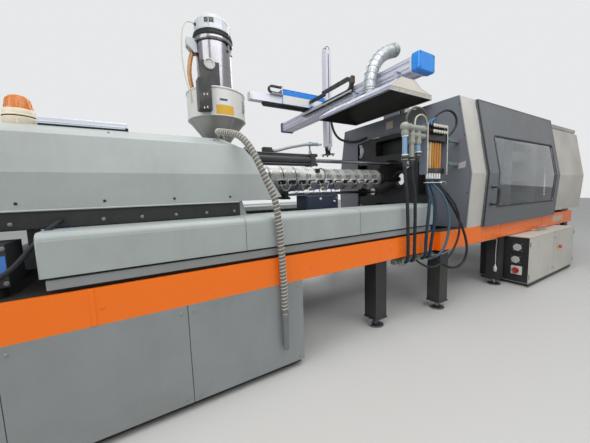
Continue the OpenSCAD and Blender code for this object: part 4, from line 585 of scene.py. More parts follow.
SUCTION_ROUTE = [
    (-3060, -140, 1990), (-3066, -200, 1994), (-3100, -300, 2012), (-3150, -420, 2024), (-3195, -540, 2010),
    (-3215, -650, 1985), (-3200, -755, 1960), (-3165, -860, 1932), (-3138, -950, 1890),
    (-3102, -1030, 1805), (-3063, -1085, 1685), (-3014, -1112, 1546), (-2965, -1130, 1416),
    (-2942, -1136, 1228), (-2930, -1136, 1032), (-2924, -1136, 858), (-2918, -1136, 697),
    (-2918, -1136, 547),
]
MANIFOLD_HOSES = {
    "drop_hose_1": (17, [
        (-1081, -1105, 1569), (-1084, -1115, 1500), (-1110, -1160, 1380), (-1140, -1175, 1230),
        (-1160, -1172, 1060), (-1165, -1165, 900), (-1162, -1160, 780), (-1160, -1145, 715),
        (-1160, -1107, 687),
    ]),
    "drop_hose_2": (17, [
        (-1035, -1105, 1569), (-1032, -1118, 1500), (-1040, -1170, 1380), (-1055, -1195, 1230),
        (-1075, -1195, 1060), (-1085, -1180, 900), (-1085, -1165, 780), (-1081, -1148, 712),
        (-1080, -1107, 687),
    ]),
    "drop_hose_3": (14, [
        (-990, -1105, 1569), (-984, -1120, 1510), (-930, -1190, 1400), (-880, -1225, 1260),
        (-850, -1232, 1120), (-850, -1230, 980), (-880, -1222, 850), (-935, -1205, 750), (-985, -1165, 695),
        (-1000, -1107, 687),
    ]),
    "drop_hose_4": (14, [
        (-944, -1105, 1569), (-938, -1120, 1515), (-880, -1190, 1400), (-790, -1235, 1250),
        (-690, -1245, 1120), (-590, -1245, 990), (-510, -1245, 850), (-480, -1245, 710), (-530, -1240, 590),
        (-650, -1225, 530), (-780, -1200, 545), (-870, -1165, 610), (-915, -1130, 670), (-920, -1107, 687),
    ]),
    "drop_hose_5": (11, [
        (-898, -1105, 1569), (-890, -1122, 1515), (-840, -1200, 1400), (-780, -1262, 1260),
        (-735, -1282, 1120), (-735, -1285, 980), (-775, -1280, 850), (-880, -1270, 720),
        (-1020, -1255, 640), (-1150, -1220, 610), (-1230, -1165, 645), (-1250, -1107, 687),
    ]),
    "supply_hose_1": (17, [
        (-1466, -1110, 1762), (-1466, -1112, 1700), (-1468, -1125, 1560), (-1465, -1142, 1400),
        (-1458, -1148, 1200), (-1450, -1148, 1000), (-1443, -1146, 820), (-1440, -1140, 720),
        (-1440, -1107, 687),
    ]),
    "supply_hose_2": (17, [
        (-1356, -1110, 1762), (-1356, -1112, 1700), (-1352, -1128, 1560), (-1346, -1148, 1400),
        (-1342, -1152, 1200), (-1340, -1150, 1000), (-1340, -1148, 820), (-1340, -1142, 720),
        (-1340, -1107, 687),
    ]),
    "left_loop_hose": (13, [
        (-1440, -1110, 2140), (-1438, -1110, 2190), (-1400, -1118, 2250), (-1330, -1126, 2290),
        (-1240, -1128, 2292), (-1160, -1118, 2268), (-1102, -1100, 2215), (-1084, -1090, 2150),
    ]),
    "right_loop_hose": (12, [
        (-1000, -1090, 2150), (-990, -1096, 2205), (-910, -1115, 2280), (-790, -1130, 2330),
        (-670, -1136, 2325), (-590, -1136, 2270), (-580, -1132, 2190), (-640, -1126, 2110),
        (-705, -1118, 2066), (-775, -1115, 2060),
    ]),
}
CABLE_ROUTE = [
    (-870, -1047, 690), (-867, -1080, 690), (-850, -1116, 692), (-800, -1145, 700), (-660, -1150, 728),
    (-520, -1155, 738), (-340, -1155, 734), (-160, -1155, 739), (20, -1155, 735), (200, -1155, 739),
    (380, -1155, 735), (500, -1150, 730), (565, -1130, 690), (590, -1115, 610), (596, -1110, 500),
    (600, -1110, 400), (600, -1110, 330),
]
RIBBED = rubber("corrugated_grey_brown_conduit", "#5a534c", 0.5)
NAVY_HOSE = rubber("navy_braided_hose", "#1b3344", 0.45)
SLATE_HOSE = rubber("slate_blue_hose", "#43606f", 0.45)
BLUE_SLEEVE = rubber("light_blue_sleeve", "#4f8fb5", 0.45)


def loose_lines():
    lance = Piece()
    end = Vector(SUCTION_ROUTE[-1])
    lance.lathe([(25.6, 0), (25.6, -2), (23, -3), (23, -20), (29, -24), (29, -70), (23, -74), (22, -318),
                (19, -320), (19, 0)], end)
    made = lance.done("suction_lance_tube", "carriage", "lance_steel",
                      metal("dull_stainless_lance", "#7f8382", 0.5, bare=0.5), bevel=0.5,
                      hides=["suction_lance"])
    # Hard spiral wound round the hose
    wire, turn = [], 0.0
    route = curve_through(SUCTION_ROUTE, 14)
    side = Vector((0.3, 0.9, 0.3))
    for a, b in zip(route, route[1:]):
        way = (b - a).normalized()
        side = (side - way * side.dot(way)).normalized()
        count = max(1, round((b - a).length / 2.4))
        for k in range(count):
            wire.append(a.lerp(b, k / count) + HOSE_WIRE_R * (math.cos(turn) * side
                        + math.sin(turn) * way.cross(side)))
            turn += 2 * math.pi * (b - a).length / count / HOSE_WIRE_PITCH
    spiral = Piece()
    spiral.pipe(wire, 4.4, 6)
    coil = spiral.done("suction_hose_wire", "carriage", "hose_grey",
                       rubber("pale_pvc_spiral", "#c3c0b8", 0.42), bevel=0)
    hose("suction_hose_spiral", "carriage", "hose_grey", SUCTION_ROUTE, 25, ribs=0.07,
         sides=20, hides=["suction_hose"],
         inside=[(end.x, end.y, end.z - 318 * k / 8) for k in range(1, 9)])
    finishes = {"drop_hose_1": NAVY_HOSE, "drop_hose_2": NAVY_HOSE, "drop_hose_3": SLATE_HOSE,
                "left_loop_hose": RIBBED}
    for name, (radius, route) in MANIFOLD_HOSES.items():
        hose(name, "root", "hose_black", route, radius, hides=["manifold_hoses"], finish=finishes.get(name),
             ribs=0.1 if name == "left_loop_hose" else 0)
    plug = Piece()
    tip = Vector(CABLE_ROUTE[-1])
    plug.lathe([(0, 3), (6, 3), (7, 0), (9, -14), (11, -26), (19, -30), (20, -34), (20, -56), (18, -58),
               (18, -62), (20, -64), (20, -82), (19, -84), (15, -88), (15, -104), (0, -104)], tip)
    for c, s in around(8):
        x, y = tip.x + 20.5 * c, tip.y + 20.5 * s
        plug.rod((x, y, tip.z - 82), (x, y, tip.z - 65), 2.2, 8)
    made = plug.done("connector_plug", "root", "plug_white", bevel=0.6, hides=["sensor_plug"])
    hose("sensor_cable_white", "root", "cable_white", CABLE_ROUTE, 4, hides=["sensor_cable"],
         sides=10)


loose_lines()


# Hopper and loader
YELLOW_PLATE = moulded("yellow_vinyl_label", "#d9a827", 0.4, depth=0.05)
WHITE_PLATE = moulded("white_vinyl_label", "#d9dad8", 0.4, depth=0.05)
DARK_PLATE = moulded("dark_printed_label", "#2f3a40", 0.35, depth=0.05)
BLACK_SEAL = rubber("black_silicone_seal", "#161718", 0.55)
AMBER_HOSE = clear("yellowed_pvc_hose", "#c08a4a", rough=0.2, ior=1.53, through=0.35)


def hopper_dress():
    rim = Piece()
    # Rolled bead at the top, the lid's folded edge, and the turned-in lower edge over the cone
    rim.lathe([(290, 2480), (294, 2480), (296, 2486), (296, 2494), (292, 2498), (282, 2498), (276, 2494),
              (180, 2494), (180, 2492.5), (290, 2492.5)], THROAT, sides=96)
    rim.lathe([(290.4, 2226), (293, 2228), (293, 2236), (290.4, 2238)], THROAT, sides=96)
    rim.done("hopper_rim_beads", "carriage", "hopper_grey", bevel=0.5)
    # A darker skin over the cone: painted shade under the rim, in a brushed metal finish
    cone = Piece()
    cone.lathe([(62.2, 1944), (147.2, 2055.5), (280.7, 2223.5), (279.4, 2224), (146, 2056), (61, 1944)],
               THROAT, sides=96)
    cone.done("hopper_cone_skin", "carriage", "hopper_grey",
              metal("brushed_cone_painted_shade", "#a8a7a2", 0.42, lines=(1, 1, 0.1), bare=0.45), bevel=0)
    seams = Piece()
    # Welded seams down the cone, one each quarter turn
    for c, s in around(4, 20):
        seams.pipe([(THROAT[0] + r * c, r * s, z) for r, z in ((61, 1943), (146, 2055), (279.5, 2223))],
                   2.6, 8)
    seams.lathe([(60, 1941), (74, 1941), (74, 1948), (66, 1950)], THROAT, sides=48)
    seams.lathe([(60, 1850), (80, 1850), (80, 1862), (60, 1862)], THROAT, sides=48)
    seams.done("hopper_cone_seams", "carriage", "hopper_grey", bevel=0)
    for name, r, angles, z, thick, finish in (
        ("hopper_blank_plate", 290.2, (-106, -72), (2240, 2326), 0.8, YELLOW_PLATE),
        ("hopper_small_plate", 290.2, (-99.5, -76), (2328, 2388), 0.8, WHITE_PLATE),
        ("hopper_plate_stripe", 291.1, (-98.5, -84), (2366, 2386), 0.5, DARK_PLATE),
    ):
        plate = Piece()
        curved_plate(plate, THROAT, r, angles, z, thick)
        plate.done(name, "carriage", "hopper_grey", finish, bevel=0)
    latch = Piece()
    for angle in (-42, 138):
        part = Piece()
        part.prism(rounded((-16, 16), (2300, 2420), 6), 289, 296)
        part.prism(rounded((-9, 9), (2330, 2455), 5), 300, 306)
        part.rod((298, -20, 2330), (298, 20, 2330), 5, 12)
        part.rod((303, 0, 2452), (303, 0, 2482), 4, 10)
        latch.join(part, Matrix.Translation(THROAT) @ Matrix.Rotation(math.radians(angle), 4, "Z"))
    latch.done("hopper_toggle_latches", "carriage", "lance_steel", bevel=0.8)
    # Bolted flange under the hopper's neck, with the slide gate's handle
    foot = Piece()
    foot.prism(rounded((-3158, -2938), (-110, 110), 14), 1832, 1838, "z")
    foot.rod((-2938, 0, 1808), (-2800, 0, 1808), 6, 14)
    foot.lathe([(0, 0), (14, 2), (17, 14), (14, 26), (0, 28)], (-2806, 0, 1808), "x", 20)
    foot.done("hopper_flange", "carriage", "lance_steel", bevel=1)
    bolts("hopper_flange_bolts", [(-3048 + sx * 88, sy * 88, 1840) for sx in (-1, 1) for sy in (-1, 1)],
          (0, 0, 1), "carriage", "lance_steel", 11, 8)


def loader_dress():
    ring = Piece()
    # Clamp band with its rolled lips, above the vessel's flange
    ring.lathe([(186, 2979), (194, 2982), (196, 2992), (190, 2997), (184, 2997)], THROAT, sides=96)
    ring.lathe([(172.3, 2506), (176, 2506), (176, 2512), (172.3, 2516)], THROAT, sides=96)
    ring.lathe([(172.2, 2740), (173.6, 2741), (173.6, 2745), (172.2, 2746)], THROAT, sides=96)
    ring.done("vessel_bands", "carriage", "vessel_chrome", bevel=0.4)
    seal = Piece()
    seal.lathe([(193, 3018), (198, 3020), (199, 3028), (199, 3040), (196, 3046), (192, 3047)], THROAT,
               sides=96)
    seal.lathe([(186, 3052), (190, 3054), (190, 3070), (182, 3072.5), (180, 3060)], THROAT, sides=96)
    seal.done("vessel_seals", "carriage", "box_black", BLACK_SEAL, bevel=0)
    grip = Piece()
    for angle in (-52, 128):
        part = Piece()
        part.prism(rounded((-18, 18), (2896, 2952), 5), 171, 178)
        part.prism(rounded((-11, 11), (2905, 3010), 5), 186, 192)
        part.rod((180, -20, 2918), (180, 20, 2918), 6, 14)
        part.pipe(curve_through([(190, -9, 3004), (196, -9, 3040), (198, 0, 3062), (196, 9, 3040),
                  (190, 9, 3004)], 4), 2.6, 8)
        part.prism(rounded((-13, 13), (2968, 2990), 5), 192, 202)
        grip.join(part, Matrix.Translation(THROAT) @ Matrix.Rotation(math.radians(angle), 4, "Z"))
    grip.done("vessel_clamps", "carriage", "vessel_chrome", bevel=0.7)
    # Material inlet on the left: a white folded bracket and the yellowed hose that drops behind the hopper
    inlet = Piece()
    for y in (-44, 38):
        inlet.prism([(-3312, 3004), (-3222, 3004), (-3216, 2880), (-3248, 2872), (-3308, 2936)], y,
                    y + 6, "y")
    inlet.block((-3312, -3308), (-44, 44), (2940, 3004))
    inlet.done("vessel_inlet_bracket", "carriage", "head_grey", bevel=1)
    # Head of the loader: a low dome that replaces the plain cap, its blank window and cable gland
    head = Piece()
    head.lathe([(0, 3072.5), (179, 3072.5), (182, 3076), (182, 3090), (179, 3094), (178, 3174), (175, 3184),
               (154, 3212), (122, 3238), (96, 3250), (70, 3254), (0, 3255)], THROAT, sides=96)
    for c, s in around(8, 20):
        x, y = THROAT[0] + 178 * c, 178 * s
        head.rod((x, y, 3092), (x, y, 3172), 5, 12)
    head.done("loader_head_cap", "carriage", "head_grey", bevel=1.2, hides=["loader_head"])
    plate = Piece()
    curved_plate(plate, THROAT, 178.2, (-128, -99), (3126, 3168), 2.2)
    plate.done("loader_head_window", "carriage", "box_black", bevel=0.4)
    plate = Piece()
    for k in range(3):
        curved_plate(plate, THROAT, 180.2, (-124 + 8 * k, -120 + 8 * k), (3138, 3156), 0.8, 3)
    plate.done("loader_head_lamps", "carriage", "head_grey",
               moulded("smoked_lamp_cover", "#6b6467", 0.3), bevel=0)
    gland = Piece()
    gland.rod((-3212, -50, 3132), (-3226, -55, 3132), 15, 6)
    gland.rod((-3226, -55, 3132), (-3240, -61, 3132), 11, 18, 8)
    gland.done("loader_head_gland", "carriage", "box_black", bevel=0.8)
    hose("loader_head_cable", "carriage", "cable_white", [(-3234, -59, 3132), (-3276, -74, 3130),
         (-3314, -88, 3110), (-3344, -100, 3062), (-3362, -108, 2990), (-3372, -112, 2900),
         (-3376, -112, 2790), (-3370, -112, 2680), (-3356, -112, 2580), (-3338, -118, 2500),
         (-3326, -124, 2430), (-3322, -128, 2360)], 5, finish=rubber("cream_pvc_sheath", "#c9c7b0", 0.45),
         sides=10)
    marks = Piece()
    for x, z in ((-3242, 2389), (-3214, 2394), (-3246, 2270), (-3218, 2278)):
        marks.prism(rounded((x - 5, x + 5), (z - 9, z + 9), 3), -321.6, -319.8, "y")
    marks.done("control_box_marks", "carriage", "plug_white", bevel=0)
    hose("material_hose", "carriage", "hose_grey", [(-3246, 0, 2950), (-3254, 0, 2900), (-3280, 0, 2820),
         (-3298, 0, 2709), (-3294, 0, 2620), (-3284, 0, 2560), (-3270, 0, 2525), (-3262, 0, 2499)], 21,
         finish=AMBER_HOSE, steps=5)
    sight = Piece()
    sight.lathe([(0, 0), (52, 0), (52, 22), (46, 26), (40, 26), (38, 18), (0, 18)], (-3152, -206, 2712),
                "y", 36)
    # Mirrored, so that it faces the operator
    sight.moved(Matrix.Translation((0, -412, 0)) @ Matrix.Scale(-1, 4, (0, 1, 0)))
    sight.done("level_sight_ring", "carriage", "fitting_grey", bevel=0.8)


hopper_dress()
loader_dress()


# Hood, bed and injection unit
SEAL_BLACK = rubber("black_edge_trim", "#1b1c1e", 0.6)
BLUE_TAPE = moulded("blue_polyester_tape", "#3f7fd0", 0.35, depth=0.05)
ORANGE_DOME = clear("orange_acrylic_dome", "#f08a1c", rough=0.12, ior=1.49, through=0.35)
CREAM_NYLON = moulded("cream_nylon_fitting", "#d8cfb8", 0.4)
PALE_BLUE = clear("pale_blue_pvc_tube", "#8fb7d8", rough=0.15, ior=1.53, through=0.3)
WIRE_WHITE = rubber("white_fibreglass_wire", "#d9d8d2", 0.5)
WIRE_BLUE = rubber("blue_pvc_wire", "#31549a", 0.45)
SILVER_FRAME = metal("pressed_steel_shroud", "#dcdcd8", 0.4, stain=0.2, bare=0.4)
# Middle of the round edge along the ledge's covers: distance from the machine's middle, and height
LEDGE_BEND = (1053, 1250)


def beacon_dress():
    base = (-4492, -340, 1975)
    cream = Piece()
    cream.lathe([(0, 0), (90, 0), (92, 3), (92, 46), (88, 50), (84, 51), (84, 57), (90, 58), (90, 64),
                (84, 69), (83, 98), (78, 105), (66, 108), (0, 108)], base, sides=64)
    for c, s in around(3, 35):
        x, y = base[0] + 86 * c, base[1] + 86 * s
        cream.rod((x, y, 1976), (x, y, 2022), 9, 14)
    cream.done("beacon_base", "carriage", "beacon_cream", bevel=0.8, hides=["beacon"])
    groove = Piece()
    groove.lathe([(83, 50.5), (88.5, 52), (88.5, 56), (83, 57.5)], base, sides=64)
    groove.done("beacon_seal", "carriage", "box_black", SEAL_BLACK, bevel=0)
    dome = Piece()
    # Moulded dome with upright flutes, open below and 3 mm thick
    outer = [(74, 105), (74, 112), (70, 126), (64, 160), (58, 180), (46, 194), (26, 202), (0, 204)]
    inner = [(0, 200), (24, 198), (43, 191), (54, 178), (60, 160), (66, 126), (68, 105)]
    dome.lathe(outer + inner, base, sides=64)
    for c, s in around(24):
        dome.pipe([(base[0] + r * c, base[1] + r * s, base[2] + z)
                   for r, z in ((72, 118), (68, 136), (64, 158), (59, 178))], 2.6, 6)
    dome.done("beacon_dome", "carriage", "beacon_cream", ORANGE_DOME, bevel=0, sharp=60)
    lamp = Piece()
    lamp.lathe([(0, 106), (30, 106), (30, 116), (12, 121), (12, 125), (22, 132), (24, 152), (16, 166),
               (0, 170)], base, sides=32)
    lamp.done("beacon_lamp", "carriage", "lance_steel", bevel=0.5)


def hood_dress():
    rail = Piece()
    rail.prism([(-430, 1989), (-400, 1989), (-396, 1996), (-396, 2028), (-404, 2037), (-424, 2037),
               (-430, 2030)], -4390, -3866)
    rail.prism([(-433, 2000), (-430, 1998), (-430, 2006), (-433, 2004)], -4390, -3866)
    rail.done("hood_lift_rail", "carriage", "beam_aluminium", bevel=1.2)
    joint = Piece()
    joint.prism([(-427, 1974.5), (-402, 1974.5), (-402, 1989.4), (-427, 1989.4)], -4388, -3868)
    joint.prism([(-436, 1972), (-428, 1978), (-428, 1996), (-436, 1996)], -3880, -3862)
    joint.done("hood_rail_seal", "carriage", "box_black", SEAL_BLACK, bevel=0.8)
    # Folded lips along the hood's lower edges
    lip = Piece()
    for side in (-1, 1):
        ring = [(side * y, z) for y, z in ((871, 1411), (875, 1407), (875, 1402), (868, 1399), (861, 1402),
                (862, 1408), (866, 1411))]
        lip.prism(ring, -4898, -3150)
    lip.done("hood_lower_lips", "carriage", "hood_grey", bevel=1)
    skirt = Piece()
    for side in (-1, 1):
        outline = [(side * y, z) for y, z in ((856.4, 1410), (859, 1410), (859, 1306), (856, 1299),
                   (848, 1296), (848, 1298.5), (854, 1302), (856.4, 1307))]
        skirt.prism(outline, -4892, -3144)
    skirt.done("hood_black_skirts", "carriage", "bed_black", bevel=0.6)
    for side, name in SIDES:
        bolts(f"skirt_bolts_{name}", [(x, side * 860, 1334) for x in range(-4880, -3191, 211)], (0, side, 0),
              "carriage", "foot_steel", 8, 6)
        # The hood's flanks start 872.2 out at a height of 1411 and lean out by 0.143 a millimetre
        flank = side * (872.2 + 0.143 * (1447 - 1411))
        bolts(f"hood_screws_{name}", [(x, flank, 1447) for x in (-4820, -4420, -4020, -3620, -3224)],
              (0, side, -0.14), "carriage", "box_black", 6, 4, sides=16)
        bolts(f"hood_top_screws_{name}", [(x, side * 640, 1913.5) for x in (-4700, -3980, -3260)],
              (0, side * 0.3, 0.95), "carriage", "box_black", 6, 4, sides=16)


def bed_dress():
    cover = Piece()
    for side in (-1, 1):
        outer = [(1097, 1055), (1097, 1250), *bend(LEDGE_BEND, 44, range(0, 91, 10)), (744, 1294),
                 (737, 1287), (737, 1230), (740, 1230), (741, 1288), (746, 1290), (1052, 1290),
                 *bend(LEDGE_BEND, 40, range(80, -1, -10)), (1093, 1064), (1082, 1058), (1070, 1058),
                 (1070, 1055)]
        cover.prism([(side * y, z) for y, z in outer], -4306, -944)
        # End caps, folded round the same edge
        cap = [(1097, 1055), (1097, 1250), *bend(LEDGE_BEND, 44, range(0, 91, 10)), (737, 1294), (737, 1055)]
        for x in (-4310, -944):
            cover.prism([(side * y, z) for y, z in cap], x, x + 4)
    cover.done("ledge_cover_sheets", "root", "ledge_grey", bevel=1.2, hides=["ledge_covers"], segments=2)
    seam = Piece()
    for x in (-3190, -2070):
        for side in (-1, 1):
            outer = [(1097.6, 1056), (1097.6, 1250), *bend(LEDGE_BEND, 44.6, range(0, 91, 10)), (760, 1294.6),
                     (760, 1293), *bend(LEDGE_BEND, 43, range(90, -1, -10)), (1096, 1056)]
            seam.prism([(side * y, z) for y, z in outer], x, x + 3)
    seam.done("ledge_cover_seams", "root", "bed_black", bevel=0)
    duct = Piece()
    for side in (-1, 1):
        duct.prism([(side * y, z) for y, z in ((1037, 985), (1081, 985), (1084, 988), (1084, 1038),
                   (1081, 1041), (1037, 1041))], -4290, -965)
    duct.done("ledge_cable_duct", "root", "panel_grey", bevel=1)
    tape = Piece()
    tape.block((-4336, -4262), (-872, -846), (1294.2, 1295.4))
    tape.block((-4250, -4206), (-870, -848), (1294.2, 1295.4))
    tape.done("ledge_blue_tapes", "root", "ledge_grey", BLUE_TAPE, bevel=0)
    # Joint strips of the orange rail, a little proud of it and folded
    joint = Piece()
    for side in (-1, 1):
        for x in (-4120, -2952, -1830):
            joint.prism([(x, side * 1096.5), (x + 2, side * 1101), (x + 26, side * 1101),
                        (x + 28, side * 1096.5)], 748, 960, "z")
        for x in (560, 2050):
            joint.prism([(x, side * 1169.5), (x + 2, side * 1174), (x + 26, side * 1174),
                        (x + 28, side * 1169.5)], 748, 960, "z")
    joint.done("rail_joint_strips", "root", "rail_orange", bevel=1.2)
    for side, name in SIDES:
        places = [(x, side * 1097.5, 843) for x in (-5300, -4637, -4060, -3474, -2637, -2200, -1480, -1000)]
        bolts(f"rail_screws_{name}", places, (0, side, 0), "root", "rail_orange", 7, 4, sides=18)
        places = [(x, side * 1170.5, 800) for x in (-780, -300, 300, 900, 1500, 2300, 2900, 3440)]
        bolts(f"rail_clamp_screws_{name}", places, (0, side, 0), "root", "rail_orange", 7, 4, sides=18)
        places = [(-5400 + 892 * i + dx, side * 1097.5, z) for i in range(3) for dx in (40, 850)
                  for z in (100, 700)]
        bolts(f"panel_screws_{name}", places, (0, side, 0), "root", "panel_grey", 8, 4, sides=18)
    tag = Piece()
    tag.block((-4500, -4464), (-959.5, -957.2), (1086, 1176))
    tag.done("pump_blue_tag", "root", "pump_black", BLUE_TAPE, bevel=0.4)
    pump = Piece()
    # Cooling fins of the pump's motor and its fan cowl
    for c, s in around(24):
        ring = [(-847 + q * c - w * s, 1113 + q * s + w * c)
                for q, w in ((143, -3), (156, -2), (156, 2), (143, 3))]
        pump.prism(ring, -4980, -4680)
    pump.lathe([(144, 0), (148, 0), (148, 34), (120, 42), (40, 44), (40, 40), (116, 38), (143, 30)],
               (-5050, -847, 1113), "x", 48)
    pump.done("pump_motor_fins", "root", "pump_black", bevel=0.6)
    bolts("pump_bolts", [(-4618 + sx * 146, -958, 1030 + sz * 186) for sx in (0, 1) for sz in (0, 1)],
          (0, -1, 0), "root", "foot_steel", 9, 7)


# The pull cylinders lie across the barrel from each other, one low and one high
CYLINDER_Y, CYLINDER_RISE = 330, 190


def cylinder_dress():
    nuts = []
    for side, up in ((-1, 1), (1, -1)):
        y, z = side * CYLINDER_Y, AXIS_Z + up * CYLINDER_RISE
        nuts += [(-2050, y + dy, z + dz) for dy in (-52, 52) for dz in (-52, 52)]
    bolts("pull_cylinder_nuts", nuts, (1, 0, 0), "carriage", "foot_steel", 15, 14)
    port = Piece()
    for side, up in ((-1, 1), (1, -1)):
        y, z = side * CYLINDER_Y, AXIS_Z + up * CYLINDER_RISE
        for x in (-2878, -2098):
            port.rod((x, y, z + 66), (x, y, z + 84), 21, 6)
            port.rod((x, y, z + 84), (x, y, z + 104), 16, 24)
        port.lathe([(24, 0), (46, 0), (46, 8), (34, 14), (26, 14), (24, 9)], (-2068, y, z), "x", 40)
    port.done("pull_cylinder_ports", "carriage", "foot_steel", bevel=1)
    # Return hose that rises over the near cylinder to a fitting on a post
    post = Piece()
    post.block((-2122, -2084), (-352, -308), (1896.5, 1904))
    post.prism(rounded((-2108, -2096), (-340, -320), 3), 1903, 1995, "z")
    post.frame(rounded((-2120, -2084), (1988, 2036), 12), rounded((-2114, -2090), (1994, 2030), 9),
               -342, -318, "y")
    post.done("hose_post", "carriage", "foot_steel", bevel=1)
    block = Piece()
    block.prism(rounded((-2690, -2590), (-362, -298), 10), 1896.5, 1944, "z")
    block.rod((-2592, -330, 1913), (-2572, -330, 1914), 17, 6)
    block.done("hose_block", "carriage", "box_black", bevel=2)
    tip = Piece()
    tip.rod((-1998, -330, 2021), (-1976, -330, 2022), 24, 8)
    tip.rod((-1976, -330, 2022), (-1940, -330, 2023), 19, 24, 16)
    fitting = tip.done("hose_cream_fitting", "carriage", "fitting_grey", CREAM_NYLON, bevel=1.2)
    sleeve = Piece()
    sleeve.rod((-2076, -330, 2015.5), (-1997, -330, 2020.8), 22, 24)
    cuff = sleeve.done("hose_blue_end", "carriage", "fitting_grey", PALE_BLUE, bevel=1)
    hose("return_hose_grey", "carriage", "hose_grey", [(-2574, -330, 1914), (-2520, -330, 1922),
         (-2440, -326, 1944), (-2350, -322, 1968), (-2260, -326, 1986), (-2180, -330, 2003),
         (-2100, -330, 2013), (-2060, -330, 2016.5)], 18, finish=rubber("pale_grey_pvc_hose", "#a9abab",
         0.45), ribs=0.09)


SHROUD_TILT = math.radians(17)
# Where the barrel's jackets become narrower
JACKET_STEP_X = -1998


def jacket_r(x):
    return 150 if x < JACKET_STEP_X else 135


def jacket_dress():
    edges = [(-2878 + i * 176, -2878 + (i + 1) * 176 - 8) for i in range(5)]
    narrow = (-700 - JACKET_STEP_X) / 8
    edges += [(JACKET_STEP_X + i * narrow, JACKET_STEP_X + (i + 1) * narrow - 8) for i in range(8)]
    bands = Piece()
    for a, b in edges:
        r = jacket_r(a)
        for x in (a + 18, b - 30):
            bands.lathe([(r + 0.3, 0), (r + 1.6, 0.5), (r + 1.6, 11.5), (r + 0.3, 12)], (x, 0, AXIS_Z),
                        "x", 64)
        for x in (a, b - 5):
            bands.lathe([(r + 0.3, 0), (r + 3, 1), (r + 3, 4), (r + 0.3, 5)], (x, 0, AXIS_Z), "x", 64)
        for x in (a + 24, b - 24):
            bands.block((x - 9, x + 9), (-r - 8, -r + 1), (1664, 1690))
            bands.rod((x, -r - 6, 1660), (x, -r - 6, 1694), 3.4, 8)
    bands.done("jacket_straps", "carriage", "lance_steel", bevel=0.4)
    frame_row, dark_row = Piece(), Piece()
    centres = [-2390 + 141 * k for k in range(4)] + [-1830 + 141 * k for k in range(8)]
    for x in centres:
        r = jacket_r(x)
        outer = rounded((x - 62, x + 62), (1604, 1676), 26)
        inner = rounded((x - 52, x + 52), (1613, 1667), 20)
        frame_row.frame(outer, inner, -r - 28, -r + 22, "y")
        dark_row.prism(rounded((x - 53, x + 53), (1612, 1668), 20), -r - 12, -r + 18, "y")
        for dx in (-26, 26):
            dark_row.rod((x + dx, -r - 20, AXIS_Z), (x + dx, -r - 11, AXIS_Z), 11, 14)
    lift = Matrix.Translation((0, 0, AXIS_Z))
    turn = lift @ Matrix.Rotation(SHROUD_TILT, 4, "X") @ lift.inverted()
    frame_row.moved(turn)
    dark_row.moved(turn)
    frame_row.done("heater_shrouds", "carriage", "jacket_silver", SILVER_FRAME, bevel=1.2)
    dark_row.done("heater_terminals", "carriage", "box_black", bevel=1)
    for k, x in enumerate(centres[:6]):
        r = jacket_r(x)
        y, z = -(r + 22) * math.cos(SHROUD_TILT), AXIS_Z - (r + 22) * math.sin(SHROUD_TILT)
        low = z - 96 - 22 * (k % 3)
        hose(f"heater_wire_{k + 1}", "carriage", "cable_white",
             [(x - 26, y, z + 2), (x - 28, y - 22, z - 6), (x - 24, y - 36, z - 40),
             (x - 8, y - 40, low + 20), (x + 22, y - 38, low), (x + 60, y - 38, low + 14),
             (x + 92, y - 34, z - 44), (x + 112, y - 20, z - 6), (x + 115, y, z + 2)], 3.2,
             finish=WIRE_BLUE if k % 2 else WIRE_WHITE, sides=8)
    plug = Piece()
    plug.prism(rounded((-1872, -1812), (1722, 1764), 6), -122, -92, "y")
    plug.rod((-1842, -112, 1743), (-1842, -134, 1750), 13, 16)
    plug.done("thermocouple_plug", "carriage", "box_black", bevel=1.5)
    hose("thermocouple_lead", "carriage", "box_black", [(-1842, -120, 1746), (-1838, -156, 1762),
         (-1822, -192, 1750), (-1808, -214, 1712), (-1800, -214, 1664), (-1800, -204, 1620),
         (-1804, -192, 1598), (-1808, -168, 1592)], 6, finish=SEAL_BLACK, sides=10)


def terminal_dress():
    box = Piece()
    box.prism(rounded((-2237, -1815), (1232, 1421), 8), -465, -460.2, "y")
    box.frame(rounded((-2249, -1803), (1218, 1435), 14), rounded((-2243, -1809), (1224, 1429), 10),
              -455, -450, "y")
    box.done("terminal_box_door", "root", "terminal_navy", bevel=1.2)
    knob = Piece()
    knob.lathe([(0, 0), (15, 0), (15, -6), (11, -12), (0, -14)], (-2065, -465, 1388), "y", 24)
    knob.done("terminal_white_button", "root", "plug_white", bevel=0.6)
    lock = Piece()
    for z in (1262, 1390):
        lock.lathe([(0, 0), (9, 0), (9, -5), (0, -6)], (-1838, -465, z), "y", 18)
    lock.lathe([(0, 0), (19, 0), (19, -5), (12, -14), (0, -15)], (-1865, -465, 1352), "y", 24)
    lock.done("terminal_box_locks", "root", "lance_steel", bevel=0.5)
    gland = Piece()
    for k in range(9):
        x = -2200 + k * 44
        gland.rod((x, -400, 1430), (x, -400, 1441), 12, 6)
        gland.rod((x, -400, 1441), (x, -400, 1456), 9, 14, 7)
    gland.done("terminal_glands", "root", "box_black", bevel=0.6)
    for k, (x, low) in enumerate(((-2200, 1500), (-2112, 1496), (-2024, 1502), (-1936, 1498))):
        hose(f"terminal_wire_{k + 1}", "root", "cable_white",
             [(x, -400, 1454), (x + 1, -400, 1472), (x + 8, -402, low), (x + 26, -406, low + 16),
             (x + 36, -408, low + 17), (x + 52, -406, low + 14), (x + 76, -402, low - 2),
             (x + 87, -400, 1472), (x + 88, -400, 1454)], 4, finish=WIRE_BLUE if k % 2 else WIRE_WHITE,
             sides=8)


